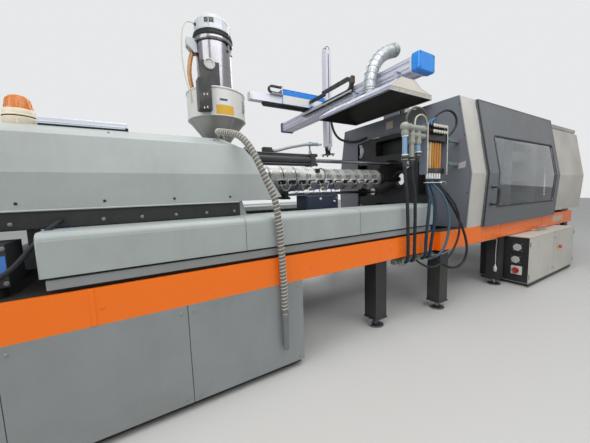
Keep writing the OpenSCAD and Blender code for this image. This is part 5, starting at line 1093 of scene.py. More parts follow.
def hood_cable():
    hose("hood_cable_black", "carriage", "hose_black", [(-4240, -864, 1340), (-4252, -902, 1330),
         (-4290, -952, 1290), (-4350, -998, 1210), (-4420, -1030, 1120), (-4500, -1044, 1060),
         (-4590, -1044, 1040), (-4680, -1032, 1066), (-4760, -1004, 1140), (-4820, -958, 1230),
         (-4852, -902, 1300), (-4862, -864, 1322)], 13)


beacon_dress()
hood_cable()
hood_dress()
bed_dress()
cylinder_dress()
jacket_dress()
terminal_dress()


# Flow regulator
GREEN_HANDLE = moulded("green_nylon_handle", "#1f8f6b", 0.35)
FLOAT_RED = moulded("red_acetal_float", "#d8401f", 0.3)
# Cream enamel of the regulator's edges, also used for a plate of painted light behind the measuring tubes
CREAM_PAINT_AND_PAINTED_LIGHT = powder_coat("cream_enamel_and_painted_light", "#d9d3c2", rough=0.35, dust=0.15)
# Black nylon of the real nuts and fittings, also used as painted shade on the valve bars, the knobs' bodies
# and the bands between the knobs
BLACK_NUT_AND_SHADE = moulded("black_nylon_and_painted_shade", "#1b1c1e", 0.4)
WHITE_TIE = moulded("white_nylon_tie", "#f0f0ee", 0.35)
# Paler amber for the first two tubes, as a painted highlight
AMBER_PAINTED_HIGHLIGHT = clear("amber_polysulfone_painted_highlight", "#f2d9ae", rough=0.12, ior=1.4, through=0.3)
# The measuring tubes' places, the planes of the tubes, pipes and knobs, and the ends of the bars
TUBE_X = [-1104 + (i + 0.5) * 275 / 6 for i in range(6)]
TUBE_Y, PIPE_Y, KNOB_Y = -1105, -1110, -1184
BAR_X = (-1146, -779)
# The three upright pipes beside the regulator
PIPE_X = (-1466, -1356, -1257)


def regulator_dress():
    edge = Piece()
    for x in (-1152, -786):
        edge.block((x, x + 13), (-1153, -1150), (1617, 2152))
    # A cream plate behind the measuring tubes: painted light that brightens them
    edge.block((-1145, -779), (-1074, -1070), (1694, 1976))
    edge.done("regulator_cream_edges_and_painted_light", "root", "frame_slate", CREAM_PAINT_AND_PAINTED_LIGHT, bevel=0.6)
    bars, knobs, caps, rings, nuts, floats = (Piece() for _ in range(6))
    for y, z0, z1 in ((-1114, 2106, 2150), (-1114, 2046, 2090), (-1110, 1985, 2040), (-1120, 1639, 1689)):
        bars.prism(rounded((y, -1064), (z0, z1), 4), *BAR_X)
    for x in TUBE_X:
        bars.rod((x, TUBE_Y, 2041), (x, TUBE_Y, 2052), 18, 20)
        bars.rod((x, TUBE_Y, 1569), (x, TUBE_Y, 1645), 9, 16)
        for z in (2128, 2068):
            bars.rod((x, PIPE_Y, z), (x, -1152, z), 10, 20)
            knobs.lathe([(7, 0), (15.5, 0), (16.5, 2), (16.5, 28), (14, 33), (7, 33)], (x, KNOB_Y, z),
                        "y", 24)
            for c, s in around(12):
                knobs.rod((x + 16 * c, -1180, z + 16 * s), (x + 16 * c, -1158, z + 16 * s), 2, 6)
            caps.lathe([(0, -8), (10, -7.4), (16, -5), (18.6, -1), (18.6, 1.5), (0, 1.5)],
                       (x, KNOB_Y, z), "y", 24)
            rings.lathe([(10.2, 0), (14, 0), (14, 4), (10.2, 4)], (x, -1150, z), "y", 24)
        nuts.rod((x, TUBE_Y, 1981), (x, TUBE_Y, 2044), 20.5, 6)
        nuts.rod((x, TUBE_Y, 1966), (x, TUBE_Y, 1981), 18, 18)
        nuts.rod((x, TUBE_Y, 1552), (x, TUBE_Y, 1572), 17.5, 6)
        floats.lathe([(0, 0), (6, 1), (10, 8), (10, 16), (7, 22), (0, 24)],
                     (x, TUBE_Y, 1716 + 9 * (round(x) % 3)), "z", 16)
    # The valve bars and the knobs' bodies are near black as painted shade, so that only the cream caps stand
    # out
    bars.done("regulator_bars", "root", "valve_grey", BLACK_NUT_AND_SHADE, bevel=0.8, hides=["manifold_valves"])
    knobs.done("regulator_knobs", "root", "valve_grey", BLACK_NUT_AND_SHADE, bevel=0.4, hides=["manifold_valves"])
    caps.done("regulator_knob_caps", "root", "valve_grey", bevel=0.4)
    rings.done("regulator_knob_seals", "root", "box_black", BLACK_SEAL, bevel=0)
    nuts.done("regulator_black_nuts", "root", "box_black", BLACK_NUT_AND_SHADE, bevel=0.8)
    floats.done("flow_floats", "root", "valve_grey", FLOAT_RED, bevel=0)
    # Thin dark sheets behind and between the knobs: painted shade
    dark = Piece()
    dark.block((-1142, -783), (-1142, -1140.3), (2046, 2150))
    dark.block((-1142, -783), (-1142, -1104), (1983, 2042))
    dark.done("regulator_painted_shade_bands", "root", "box_black", BLACK_NUT_AND_SHADE, bevel=0.6)
    sockets = Piece()
    for x in TUBE_X:
        sockets.lathe([(9.2, 1572), (11, 1572), (12.5, 1578), (12.5, 1624), (11, 1634), (9.2, 1638)],
                      (x, TUBE_Y, 0), "z", 24)
    sockets.done("regulator_white_sockets", "root", "plug_white", WHITE_TIE, bevel=0)
    # Measuring tubes, wider at the top as in a variable-area flow meter
    # The first two tubes are paler amber as a painted highlight
    for first, count, finish in ((0, 2, AMBER_PAINTED_HIGHLIGHT), (2, 4, MATERIAL["tube_amber"])):
        glass = Piece()
        for x in TUBE_X[first:first + count]:
            glass.lathe([(10.5, 1689.5), (13, 1689.5), (16.6, 1979.5), (14, 1979.5)], (x, TUBE_Y, 0), "z", 28)
        glass.done(f"flow_tubes_{'left' if first == 0 else 'right'}", "root", "tube_amber", finish, bevel=0,
                   hides=["flow_tubes"])
    skins = Piece()
    for z in (1759, 2039):
        skins.frame([(-1062, z - 22), (-1062, z + 22), (-1018, z + 22), (-1018, z - 22)],
                    [(-1060.3, z - 20.3), (-1060.3, z + 20.3), (-1019.7, z + 20.3), (-1019.7, z - 20.3)],
                    -774, -366.5)
    skins.done("regulator_arm_skins", "root", "portal_slate", bevel=0.8)
    marks = Piece()
    for x in TUBE_X:
        for k in range(9):
            marks.block((x + 16.2, x + (24 if k % 2 else 27)), (-1076, -1074.6),
                        (1720 + 27 * k, 1723 + 27 * k))
    marks.done("flow_scale_lines", "root", "box_black", BLACK_NUT_AND_SHADE, bevel=0)
    handle = Piece()
    for z in (1996, 1734):
        handle.rod((-775, -1132, z), (-718, -1132, z), 6, 12)
        handle.prism(rounded((-1154, -1110), (z - 12, z + 12), 8), -726, -712)
    handle.done("regulator_green_handles", "root", "fitting_grey", GREEN_HANDLE, bevel=1.2)
    joints = Piece()
    for x0, x1, z, r in ((-1408, -1382, 2092, 39), (-1196, -1160, 2092, 38), (-1318, -1296, 2018, 33),
                         (-1226, -1206, 2018, 33), (-1186, -1160, 2018, 33)):
        joints.rod((x0, PIPE_Y, z), (x1, PIPE_Y, z), r, 8)
        joints.rod((x0 - 6, PIPE_Y, z), (x1 + 6, PIPE_Y, z), r - 3, 24)
    for x, z, r in zip(PIPE_X, (2030, 1952, 1952), (37, 36, 36)):
        joints.rod((x, PIPE_Y, z - 13), (x, PIPE_Y, z + 13), r, 8)
        joints.rod((x, PIPE_Y, z - 20), (x, PIPE_Y, z + 20), r - 3, 24)
    for x in PIPE_X[1:]:
        joints.rod((x, PIPE_Y, 2018), (x, PIPE_Y, 2060), 30, 24)
        joints.rod((x, PIPE_Y, 2060), (x, PIPE_Y, 2074), 24, 6)
    joints.done("pipe_union_nuts", "root", "pipe_grey", bevel=1.2)
    tubes_blue = Piece()
    tubes_blue.lathe([(22.3, 1812), (24.5, 1812), (24.5, 2002), (22.3, 2002)], (PIPE_X[0], PIPE_Y, 0),
                     "z", 28)
    tubes_blue.lathe([(26.3, 1850), (28.5, 1850), (28.5, 1916), (26.3, 1916)], (PIPE_X[2], PIPE_Y, 0),
                     "z", 28)
    tubes_blue.done("pale_blue_sleeves", "root", "fitting_grey", PALE_BLUE, bevel=0)
    clips = Piece()
    for x, z, r in ((PIPE_X[0], 1806, 26), (PIPE_X[0], 1992, 26), (PIPE_X[2], 1842, 30)):
        clips.lathe([(r - 2, 0), (r + 3, 0), (r + 3, 11), (r - 2, 11)], (x, PIPE_Y, z), "z", 28)
        clips.block((x - 7, x + 7), (PIPE_Y - r - 12, PIPE_Y - r), (z, z + 11))
    clips.done("pipe_white_clips", "root", "plug_white", WHITE_TIE, bevel=0.8)
    lower = Piece()
    for x, z in zip(PIPE_X, (1762, 1762, 1814)):
        lower.rod((x, PIPE_Y, z + 8), (x, PIPE_Y, z + 32), 35, 8)
        lower.rod((x, PIPE_Y, z - 26), (x, PIPE_Y, z + 8), 26, 24, 20)
        lower.rod((x, PIPE_Y, z - 64), (x, PIPE_Y, z - 26), 19, 20)
    lower.done("pipe_black_fittings", "root", "box_black", BLACK_NUT_AND_SHADE, bevel=1.2)
    bolts("regulator_screws", [(x, -1153.6, z) for x in (-1145.5, -779.5) for z in (1640, 1885, 2135)],
          (0, -1, 0), "root", "foot_steel", 4.5, 3)
    bolts("bracket_bolts", [(-740 + 300 * k, -1021, z) for k in range(2) for z in (1759, 2039)], (0, -1, 0),
          "root", "foot_steel", 9, 6)
    straps = Piece()
    for x in (-1440, -940):
        straps.block((x - 60, x + 60), (-1083, -1079), (640, 720))
    straps.done("header_straps", "root", "foot_steel", bevel=0.8)
    # Nylon tie round the hoses, with its tail
    tie = Piece()
    ring = curve_through([(-1108, -1092, 1531), (-1100, -1138, 1530), (-1000, -1150, 1529),
                         (-890, -1148, 1530), (-868, -1120, 1531), (-880, -1090, 1532), (-980, -1082, 1532),
                         (-1090, -1084, 1531), (-1108, -1092, 1531)], 5)
    tie.pipe(ring, 3.4, 8, 0.5)
    tie.pipe(curve_through([(-872, -1130, 1531), (-840, -1150, 1538), (-812, -1160, 1530),
             (-806, -1162, 1506)], 4), 3.2, 8, 0.5)
    tie.block((-884, -864), (-1150, -1136), (1522, 1540))
    tie.done("hose_nylon_tie", "root", "plug_white", WHITE_TIE, bevel=0)


def regulator_loops():
    hose("cream_loop_hose", "root", "cable_white", [(-1306, -1110, 2124), (-1305, -1110, 2160),
         (-1286, -1112, 2202), (-1242, -1114, 2230), (-1192, -1114, 2238), (-1142, -1112, 2226),
         (-1106, -1106, 2196), (-1092, -1100, 2166), (-1090, -1098, 2150)], 8,
         finish=rubber("cream_pvc_hose", "#cfc9b8", 0.45), sides=12)
    # Two short loops above the bars
    for k, (x, y) in enumerate(((-1052, -1128), (-1030, -1084))):
        hose(f"blue_loop_hose_{k + 1}", "root", "hose_black",
             [(x, y, 2150), (x + 1, y, 2168), (x + 18, y, 2200), (x + 58, y - 4, 2222), (x + 98, y, 2200),
             (x + 115, y, 2168), (x + 116, y, 2150)], 6, finish=BLUE_SLEEVE, sides=12)


regulator_loops()
regulator_dress()


# Guard, doors and cabinet
GASKET = rubber("grey_window_gasket", "#35383b", 0.5)
PALE_LABEL = moulded("pale_vinyl_label", "#c9b8a6", 0.4, depth=0.05)
GREY_LABEL = moulded("grey_vinyl_label", "#b9bbba", 0.4, depth=0.05)
BLACK_SHEET = powder_coat("black_powder_coat", "#1c1d20", grime="#4a4742", rough=0.45, dust=0.2, wear=0.2)
YELLOW_NYLON = moulded("yellow_nylon", "#e8b81c", 0.4)
# The guard's outline: its heights at the sill, the fold and the eaves, and its half width there
SILL, KNEE, EAVES = 961, 1637, 2589
SILL_Y, KNEE_Y, EAVES_Y = 1170, 1212, 1042


def side_y(z):
    """The half width of the guard's outline at a height."""
    if z < KNEE:
        return SILL_Y + (KNEE_Y - SILL_Y) * (z - SILL) / (KNEE - SILL)
    return KNEE_Y + (EAVES_Y - KNEE_Y) * (z - KNEE) / (EAVES - KNEE)


def skin(piece, x, z, out, thick, side):
    """A sheet laid out from the guard's outline, folded at the knee."""
    levels = [z[0]] + ([KNEE] if z[0] < KNEE < z[1] else []) + [z[1]]
    ring = [(side * (side_y(v) + out + thick), v) for v in levels]
    ring += [(side * (side_y(v) + out), v) for v in reversed(levels)]
    piece.prism(ring, x[0], x[1])


def with_knee(ring):
    """Adds a point wherever an outline of (x, z) crosses the guard's knee."""
    out = []
    for (x0, z0), (x1, z1) in zip(ring, ring[1:] + ring[:1]):
        out.append((x0, z0))
        if (z0 - KNEE) * (z1 - KNEE) < 0:
            out.append((x0 + (x1 - x0) * (KNEE - z0) / (z1 - z0), KNEE))
    return out


def door_dress(side, name):
    body = f"{name}_door"
    trim = Piece()
    # Folded edges of the door's sheet, and its lip over the orange rail
    for x0, x1 in ((2, 14), (2453, 2465)):
        skin(trim, (x0, x1), (950, 2580), 40.2, 2.2, side)
    skin(trim, (14, 2453), (2569, 2580), 40.2, 2.2, side)
    skin(trim, (14, 2453), (950, 962), 40.2, 2.2, side)
    trim.done(f"{name}_door_folded_edges", body, "door_slate", bevel=1.2)
    seal = Piece()
    for x0, x1 in ((-2.5, 1.5), (2465.5, 2468.5)):
        skin(seal, (x0, x1), (960, 2575), 20, 18, side)
    seal.done(f"{name}_door_edge_seals", body, "handle_black", GASKET, bevel=0)
    # Gasket and clamping screws round the pane
    gasket = Piece()
    outer = with_knee(rounded((255, 2314), (1187, 2144), 52, 8))
    inner = with_knee(rounded((273, 2296), (1205, 2126), 36, 8))
    gasket.band([[(x, side * (side_y(z) + lift), z) for x, z in ring] for lift in (41, 44.5)
                for ring in (outer, inner)])
    gasket.done(f"{name}_window_gasket", body, "handle_black", GASKET, bevel=0.8)
    rows = [(x, z) for x in range(330, 2300, 214) for z in (1178, 2153)]
    rows += [(x, z) for x in (246, 2323) for z in (1290, 1490, 1860, 2040)]
    for half, low, high in (("low", 0, KNEE), ("high", KNEE, 3000)):
        slope = 0.062 if half == "low" else -0.179
        bolts(f"{name}_window_screws_{half}", [(x, side * (side_y(z) + 41), z) for x, z in rows
              if low < z < high], (0, side, -slope), body, "foot_steel", 6, 4, sides=16)
    hanger = Piece()
    for x in (330, 1233, 2137):
        hanger.prism(rounded((x - 55, x + 55), (2566, 2583), 5), side * 1046, side * 1051, "y")
    hanger.done(f"{name}_door_hanger_plates", body, "foot_steel", bevel=0.8)


def guard_dress():
    door_dress(-1, "front")
    door_dress(1, "rear")
    # Backplate and grip of the operator's handle
    back = Piece()
    for z in (1236, 1461):
        y = -side_y(z) - 40
        back.prism(rounded((80, 130), (z - 24, z + 24), 10), y - 7, y - 0.2, "y")
    back.done("front_handle_pads", "front_door", "handle_black", bevel=1.5)
    grip = Piece()
    for k in range(9):
        z = 1285 + 16 * k
        grip.frame(rounded((90, 120), (-1329, -1299), 11), rounded((96, 114), (-1322, -1306), 6), z,
                   z + 9, "z")
    grip.done("front_handle_grip_ribs", "front_door", "handle_black", bevel=1)
    bolts("front_handle_screws", [(x, -side_y(z) - 47, z) for x in (88, 122) for z in (1221, 1476)],
          (0, -1, -0.06), "front_door", "lance_steel", 5, 3)
    # Portal: folded inner edge, sticker, seam and its screws
    edge = Piece()
    outer = [(-710, 961), (-710, 2290), (-650, 2350), (650, 2350), (710, 2290), (710, 961)]
    inner = [(-700, 961), (-700, 2286), (-646, 2340), (646, 2340), (700, 2286), (700, 961)]
    edge.prism(outer + inner[::-1], -372, -362)
    edge.done("portal_folded_arch", "root", "portal_slate", bevel=1)
    seam = Piece()
    for side in (-1, 1):
        for z0, z1 in ((1000, 1632), (1642, 2575)):
            ring = [(side * (side_y(v) - 14), v) for v in (z0, z1)]
            ring += [(side * (side_y(v) - 15.4), v) for v in (z1, z0)]
            seam.prism(ring, -367.2, -365.6)
    seam.done("portal_edge_seams", "root", "bed_black", bevel=0)
    places = [(-366, side * y, z) for side in (-1, 1)
              for y, z in ((1130, 1010), (760, 1010), (760, 1400), (760, 1800), (760, 2200), (1170, 1400),
                           (1120, 2100), (1050, 2480))]
    places += [(-366, y, 2480) for y in (-500, 0, 500)]
    bolts("portal_screws", places, (-1, 0, 0), "root", "box_black", 6, 3, sides=16)
    label("portal_blank_sticker", "root", "portal_slate",
          [(-366.1, -1054, 1700), (-366.1, -1060, 1768), (-366.1, -1146, 1790), (-366.1, -1140, 1712)],
          GREY_LABEL)
    label("portal_blank_plate", "root", "portal_slate",
          [(-366.1, -60, 2420), (-366.1, -60, 2530), (-366.1, 66, 2530), (-366.1, 66, 2420)], PALE_LABEL)
    lip = Piece()
    for side in (-1, 1):
        skin(lip, (-350, -338), (966, 2578), 0.2, 1.6, side)
        skin(lip, (-16, -4), (966, 2578), 0.2, 1.6, side)
    lip.done("hoop_folded_edges", "root", "hoop_grey", bevel=0.7)
    # End cover: return folds and their screws, kept within the door's gap
    fold = Piece()
    for side in (-1, 1):
        skin(fold, (3946, 3960), (1014, 2466), -2.8, 2.4, side)
        skin(fold, (2474, 3946), (1014, 1024), -2.8, 2.4, side)
    fold.done("end_cover_folds", "root", "cover_grey", bevel=0.8)
    places = [(3961, side * y, z) for side in (-1, 1)
              for y, z in ((1120, 1050), (1150, 1640), (1040, 2300), (560, 1050), (560, 2380))]
    places += [(3961, 0, z) for z in (1050, 2420)]
    bolts("end_cover_screws", places, (1, 0, 0), "root", "box_black", 7, 4, sides=16)
    vent = Piece()
    for k in range(14):
        z = 1500 + 38 * k
        vent.prism([(3960.5, z), (3972, z - 12), (3972, z - 9), (3960.5, z + 14)], -420, 420, "y")
    vent.done("end_cover_louvres", "root", "cover_grey", bevel=0.8)
    y0, y1 = side_y(2387) - 3, side_y(2342) - 3
    label("end_cover_blank_label", "root", "cover_grey", [(3080, -y1 - 0.3, 2342), (3290, -y1 - 0.3, 2342),
          (3290, -y0 - 0.3, 2387), (3080, -y0 - 0.3, 2387)], GREY_LABEL, 0.6)
    label("rail_blank_label", "root", "rail_orange", [(2560, -1170.2, 800), (3060, -1170.2, 800),
          (3060, -1170.2, 905), (2560, -1170.2, 905)], PALE_LABEL)
    peg = Piece()
    peg.rod((3114, -1100, 747), (3114, -1100, 722), 17, 16)
    peg.rod((3114, -1100, 722), (3114, -1100, 700), 26, 20, 22)
    peg.done("rail_white_foot", "root", "plug_white", bevel=1.2)
    bolts("track_screws_far", [(x, 1041, 2527) for x in range(60, 3940, 240)], (0, 1, 0), "root", "box_black",
          7, 5, sides=16)
    for side, name in SIDES:
        stop = Piece()
        for x in (8, 3912):
            stop.prism(rounded((x, x + 22), (2500, 2554), 5), side * 1000, side * 1043, "y")
        stop.done(f"track_end_stops_{name}", "root", "handle_black", bevel=1.5)


def cabinet_dress():
    sheet = Piece()
    sheet.prism(rounded((-1402, -786), (64, 722), 3), 873.4, 876)
    sheet.done("cabinet_black_side", "root", "bed_black", BLACK_SHEET, bevel=0.4)
    doors = Piece()
    for x0, x1 in ((880, 1793), (1801, 2714)):
        doors.prism(rounded((x0, x1), (66, 720), 3), -1413, -1407, "y")
        doors.frame(rounded((x0 + 3, x1 - 3), (69, 717), 3), rounded((x0 + 9, x1 - 9), (75, 711), 3),
                    -1413.6, -1412.8, "y")
    doors.done("cabinet_door_skins", "root", "cabinet_grey", bevel=1.4)
    hinge = Piece()
    for x in (877, 2717):
        for z in (130, 600):
            hinge.rod((x, -1417, z), (x, -1417, z + 62), 6.5, 16)
            hinge.rod((x, -1417, z - 5), (x, -1417, z), 4, 12)
    for x in (1766, 1830):
        for z in (150, 636):
            hinge.lathe([(0, 0), (13, 0), (13, -3), (9, -6), (0, -7)], (x, -1413, z), "y", 24)
    hinge.done("cabinet_hinges_locks", "root", "lance_steel", bevel=0.8)
    slots = Piece()
    for x in (1766, 1830):
        for z in (150, 636):
            slots.block((x - 7, x + 7), (-1420.6, -1419.6), (z - 1.6, z + 1.6))
    slots.done("cabinet_lock_slots", "root", "box_black", bevel=0)
    top = Piece()
    top.prism(rounded((872, 2722), (-1412, -778), 6), 728, 736, "z")
    top.done("cabinet_top_lid", "root", "cabinet_grey", bevel=2)
    base = Piece()
    base.block((900, 2694), (-1404, -1398), (14, 58))
    base.block((896, 900), (-1398, -790), (14, 58))
    base.done("cabinet_plinth_skirts", "root", "bed_black", BLACK_SHEET, bevel=1)
    # Round sockets with finger lugs and corner screws
    ring, dark, screw = Piece(), Piece(), []
    for y, z in ((-1269, 576), (-1253, 392)):
        ring.lathe([(38, -850), (46.5, -850), (48.5, -853), (48.5, -862), (46, -866), (38, -866)],
                   (0, y, z), "x", 48)
        for c, s in around(6, 15):
            ring.rod((-852, y + 47 * c, z + 47 * s), (-866, y + 47 * c, z + 47 * s), 7, 12)
        for c, s in around(5, 90):
            dark.rod((-856, y + 20 * c, z + 20 * s), (-852, y + 20 * c, z + 20 * s), 5, 12)
        screw += [(872.5, y + sy * 50, z + sz * 50) for sy in (-1, 1) for sz in (-1, 1)]
    # The sockets face minus X, and are mirrored into place
    for piece in (ring, dark):
        piece.moved(Matrix.Scale(-1, 4, (1, 0, 0)))
    ring.done("cabinet_socket_collars", "root", "fitting_grey", bevel=1)
    dark.done("cabinet_socket_pins", "root", "box_black", bevel=0)
    bolts("cabinet_socket_screws", screw, (-1, 0, 0), "root", "lance_steel", 5, 3, sides=16)
    plate = Piece()
    plate.prism(rounded((-1334, -1202), (172, 292), 8), 866, 870.2)
    plate.frame(rounded((-1320, -1204), (176, 288), 8), rounded((-1314, -1210), (182, 282), 6), 864, 866.4)
    plate.done("isolator_white_plate", "root", "plug_white", bevel=1)
    knob = Piece()
    knob.lathe([(34, 0), (42, 0), (44, -4), (44, -9), (40, -12), (34, -12)], (858, -1262, 232), "x", 40)
    knob.prism(rounded((-1270, -1254), (196, 268), 7), 826, 838)
    knob.done("isolator_knob_cap", "root", "knob_red", bevel=2)
    shield = Piece()
    shield.lathe([(26, -1410), (42, -1410), (43, -1413), (41, -1416), (26, -1416)], (1999, 0, 472), "y", 48)
    shield.done("estop_yellow_ring", "root", "fitting_grey", YELLOW_NYLON, bevel=0.8)
    back = Piece()
    back.frame(rounded((1961, 2037), (434, 510), 8), rounded((1972, 2026), (445, 499), 26.9),
               -1415, -1410.1, "y")
    back.done("estop_yellow_plate", "root", "fitting_grey", YELLOW_NYLON, bevel=1.2)
    cap = Piece()
    cap.lathe([(22, -1439), (27, -1438), (28, -1444), (25, -1451), (16, -1455), (0, -1456), (0, -1441)],
              (1999, 0, 472), "y", 48)
    cap.done("estop_mushroom_cap", "root", "stop_red", bevel=0.6)
    # Pale coil of cable that lies on the cabinet's lid
    coil = []
    for k in range(41):
        a = math.radians(27 * k)
        r = 96 + 9 * math.sin(2.3 * a) + 0.6 * k
        coil.append((1800 + 1.9 * r * math.cos(a), -1200 + 0.62 * r * math.sin(a),
                    745 + 0.55 * k + 3 * math.sin(3.1 * a)))
    coil.append((1990, -1290, 748))
    hose("coiled_pale_cable", "root", "cable_white", coil, 5.5,
         finish=rubber("pale_grey_pvc_sheath", "#b7b6b2", 0.45),
         sides=8, steps=3)


guard_dress()
cabinet_dress()


# Fume hood, duct, robot and energy chain
ALU_EXTRUSION = metal("anodised_profile", "#c9cbdc", 0.42, lines=(1, 0.04, 1), stain=0.06)
CREAM_SHEET = powder_coat("aged_zinc_sheet", "#c2bdb0", grime="#7e776a", rough=0.5, dust=0.35, wear=0.1)
# Near-black lining of the fume hood: painted shade inside it, with dust and grime
LINER_PAINTED_SHADE = powder_coat("lining_sheet_painted_shade", "#3a3833", grime="#221f1b", rough=0.7, dust=0.5, wear=0.05)
BLUE_CAP = moulded("blue_abs_cap", "#1e86e0", 0.32)
INDIGO_CAP = moulded("dark_blue_abs_cap", "#2a2f78", 0.35)
BROWN_BLOCK = moulded("brown_phenolic_block", "#4a3526", 0.5)
END_WHITE = powder_coat("white_enamel", "#d9dad8", rough=0.36, dust=0.15)
# Centre, radius and degrees of the duct's bend, and the place of its upright length
ELBOW = (-160.5, 0, 2950)
ELBOW_R = 640
ELBOW_TURN = 67
DUCT_X = ELBOW[0] - ELBOW_R


def fume_dress():
    # Sheets along the hood's slopes and ends, with hemmed edges
    ends = Piece()
    for s in (-1, 1):
        a, b = s * 706, s * 640
        points = [(x, a + s * 0.3, z) for x, z in ((-1198, 2634), (-1198, 2678), (-403, 2678), (-403, 2634))]
        ends.slab(points, [(x, y + s * 2, z) for x, y, z in points])
        points = [(-1196, a, 2682), (-919, b, 2853), (-682, b, 2853), (-586, a - s * 23, 2742),
                  (-404, a, 2682)]
        ends.slab(points, [(x, y + s * 2.4, z + 0.6) for x, y, z in points])
    ends.done("fume_end_sheets", "root", "fume_grey", CREAM_SHEET, bevel=0.4)
    hem = Piece()
    for s in (-1, 1):
        hem.pipe([(-1205, s * 709, 2631), (-396, s * 709, 2631)], 4.2, 10)
        hem.pipe([(-1203, s * 708, 2680), (-921, s * 642, 2856), (-680, s * 642, 2856), (-583, s * 684, 2743),
                 (-398, s * 708, 2681)], 3.4, 10)
    for x in (-1206, -395):
        hem.pipe([(x, -709, 2631), (x, 709, 2631)], 4.2, 10)
        hem.pipe([(x + (2 if x < -800 else -2), -706, 2680), (x + (2 if x < -800 else -2), 706, 2680)],
                 3.2, 10)
    hem.done("fume_hood_hems", "root", "fume_grey", bevel=0)
    flange = Piece()
    flange.prism([(-1207, 2634), (-1203.4, 2634), (-1203.4, 2676), (-1207, 2676)], -700, 700, "y")
    flange.prism([(-1207, 2634), (-1226, 2634), (-1226, 2637), (-1207, 2637)], -700, 700, "y")
    flange.done("fume_hood_gutter", "root", "fume_grey", bevel=0.8)
    bolts("fume_hood_rivets_left", [(-1204.6, y, 2655) for y in (-620, -310, 0, 310, 620)], (-1, 0, 0),
          "root", "foot_steel", 5, 3, sides=16)
    for s, name in SIDES:
        bolts(f"fume_hood_rivets_{name}", [(x, s * 708.6, 2656) for x in range(-1160, -400, 120)], (0, s, 0),
              "root", "foot_steel", 5, 3, sides=16)
    seam = Piece()
    for y in (-235, 235):
        seam.prism([(-1202, 2681), (-920.5, 2855.4), (-921, 2861), (-1205, 2686)], y - 9, y + 9, "y")
        seam.block((-920, -900), (y - 9, y + 9), (2854.4, 2860))
    seam.done("fume_hood_standing_seams", "root", "fume_grey", bevel=0.8)
    # Lining of the slopes and ends, near black as painted shade inside the hood; the flat top stays open to
    # the duct
    def end_y(z):
        return 700 - (66 * (z - 2679) / 175 if z > 2679 else 0)
    liner = Piece()
    for rows in ([(-1196, 2633), (-1196, 2673), (-918, 2845)],
                 [(-688, 2845), (-592, 2733), (-406, 2672), (-406, 2633)]):
        way = 1 if rows[0][0] < -1000 else -1
        for (x0, z0), (x1, z1) in zip(rows, rows[1:]):
            points = [(x, s * end_y(z), z) for x, z, s in ((x0, z0, -1), (x0, z0, 1), (x1, z1, 1),
                      (x1, z1, -1))]
            liner.slab(points, [(x + way * 1.5, y, z - 0.6) for x, y, z in points])
    for s in (-1, 1):
        for outline, slope in (([(-1196, 2633), (-1196, 2673), (-406, 2673), (-406, 2633)], 0),
                               ([(-1196, 2673), (-918, 2845), (-688, 2845), (-592, 2733), (-406, 2673)], 66)):
            points = [(x, s * (700 - slope * (z - 2679) / 175), z) for x, z in outline]
            liner.slab(points, [(x, y - s * 1.5, z) for x, y, z in points])
    liner.done("fume_hood_lining", "root", "fume_grey", LINER_PAINTED_SHADE, bevel=0)


def on_elbow(degrees):
    """A place on the duct's middle line round its bend, and the way that the duct runs there."""
    a = math.radians(degrees)
    centre = Vector((ELBOW[0] - ELBOW_R * math.cos(a), 0, ELBOW[2] + ELBOW_R * math.sin(a)))
    return centre, Vector((math.sin(a), 0, math.cos(a)))


def duct_dress():
    # Seven pressed segments of the elbow, each with a raised bead at its joint
    beads = Piece()
    for k in range(9):
        centre, way = on_elbow(ELBOW_TURN * k / 8)
        beads.pipe([centre - way * 7, centre - way * 3, centre, centre + way * 3, centre + way * 7],
                   [92.2, 96, 97.4, 96, 92.2], 48)
    for low in (2880, 2908):
        beads.pipe([(DUCT_X, 0, low + dz) for dz in (0, 3, 6)], [92.2, 95.4, 92.2], 48)
    tip = Vector((-410.6, 0, 3539.1))
    way = Vector((0.9205, 0, 0.3907))
    for d in (20, 60):
        beads.pipe([tip + way * (d + q) for q in (0, 4, 8)], [92.2, 95.6, 92.2], 48)
    beads.done("duct_joint_beads", "root", "duct_galvanised", bevel=0, sharp=50)
    clamp = Piece()
    clamp.lathe([(92.3, 2858), (99, 2858), (100.5, 2861), (100.5, 2871), (99, 2874), (92.3, 2874)],
                (DUCT_X, 0, 0), "z", 64)
    clamp.prism(rounded((-812, -789), (2857, 2877), 3), -118, -98, "y")
    clamp.rod((-824, -110, 2867), (-778, -110, 2867), 4, 12)
    clamp.lathe([(93, 2855), (142, 2855), (143, 2857.5), (93, 2857.5)], (DUCT_X, 0, 0), "z", 64)
    clamp.done("duct_clamp_ring", "root", "lance_steel", bevel=0.6)
    bolts("duct_foot_screws", [(DUCT_X + 128 * c, 128 * s, 2858.5) for c, s in around(6, 20)
          if abs(128 * c) < 118], (0, 0, 1), "root", "foot_steel", 5, 3, sides=16)
    ring = Piece()
    ring.pipe([tip + way * q for q in (148, 150, 160, 168, 170)], [98.4, 101, 102.5, 101, 98.4], 48)
    ring.done("duct_end_band", "root", "duct_galvanised", bevel=0, sharp=50)
    latch = Piece()
    for a in (-1, 1):
        for k in (2, 5):
            c, w = on_elbow(ELBOW_TURN * k / 8 + 4)
            middle, edge = Vector((0, a * 98, 0)), Vector((0, a * 95, 0))
            latch.pipe([c + edge - w * 16, c + middle, c + edge + w * 16], [5, 6, 5], 10)
    latch.done("duct_rivet_straps", "root", "foot_steel", bevel=0)


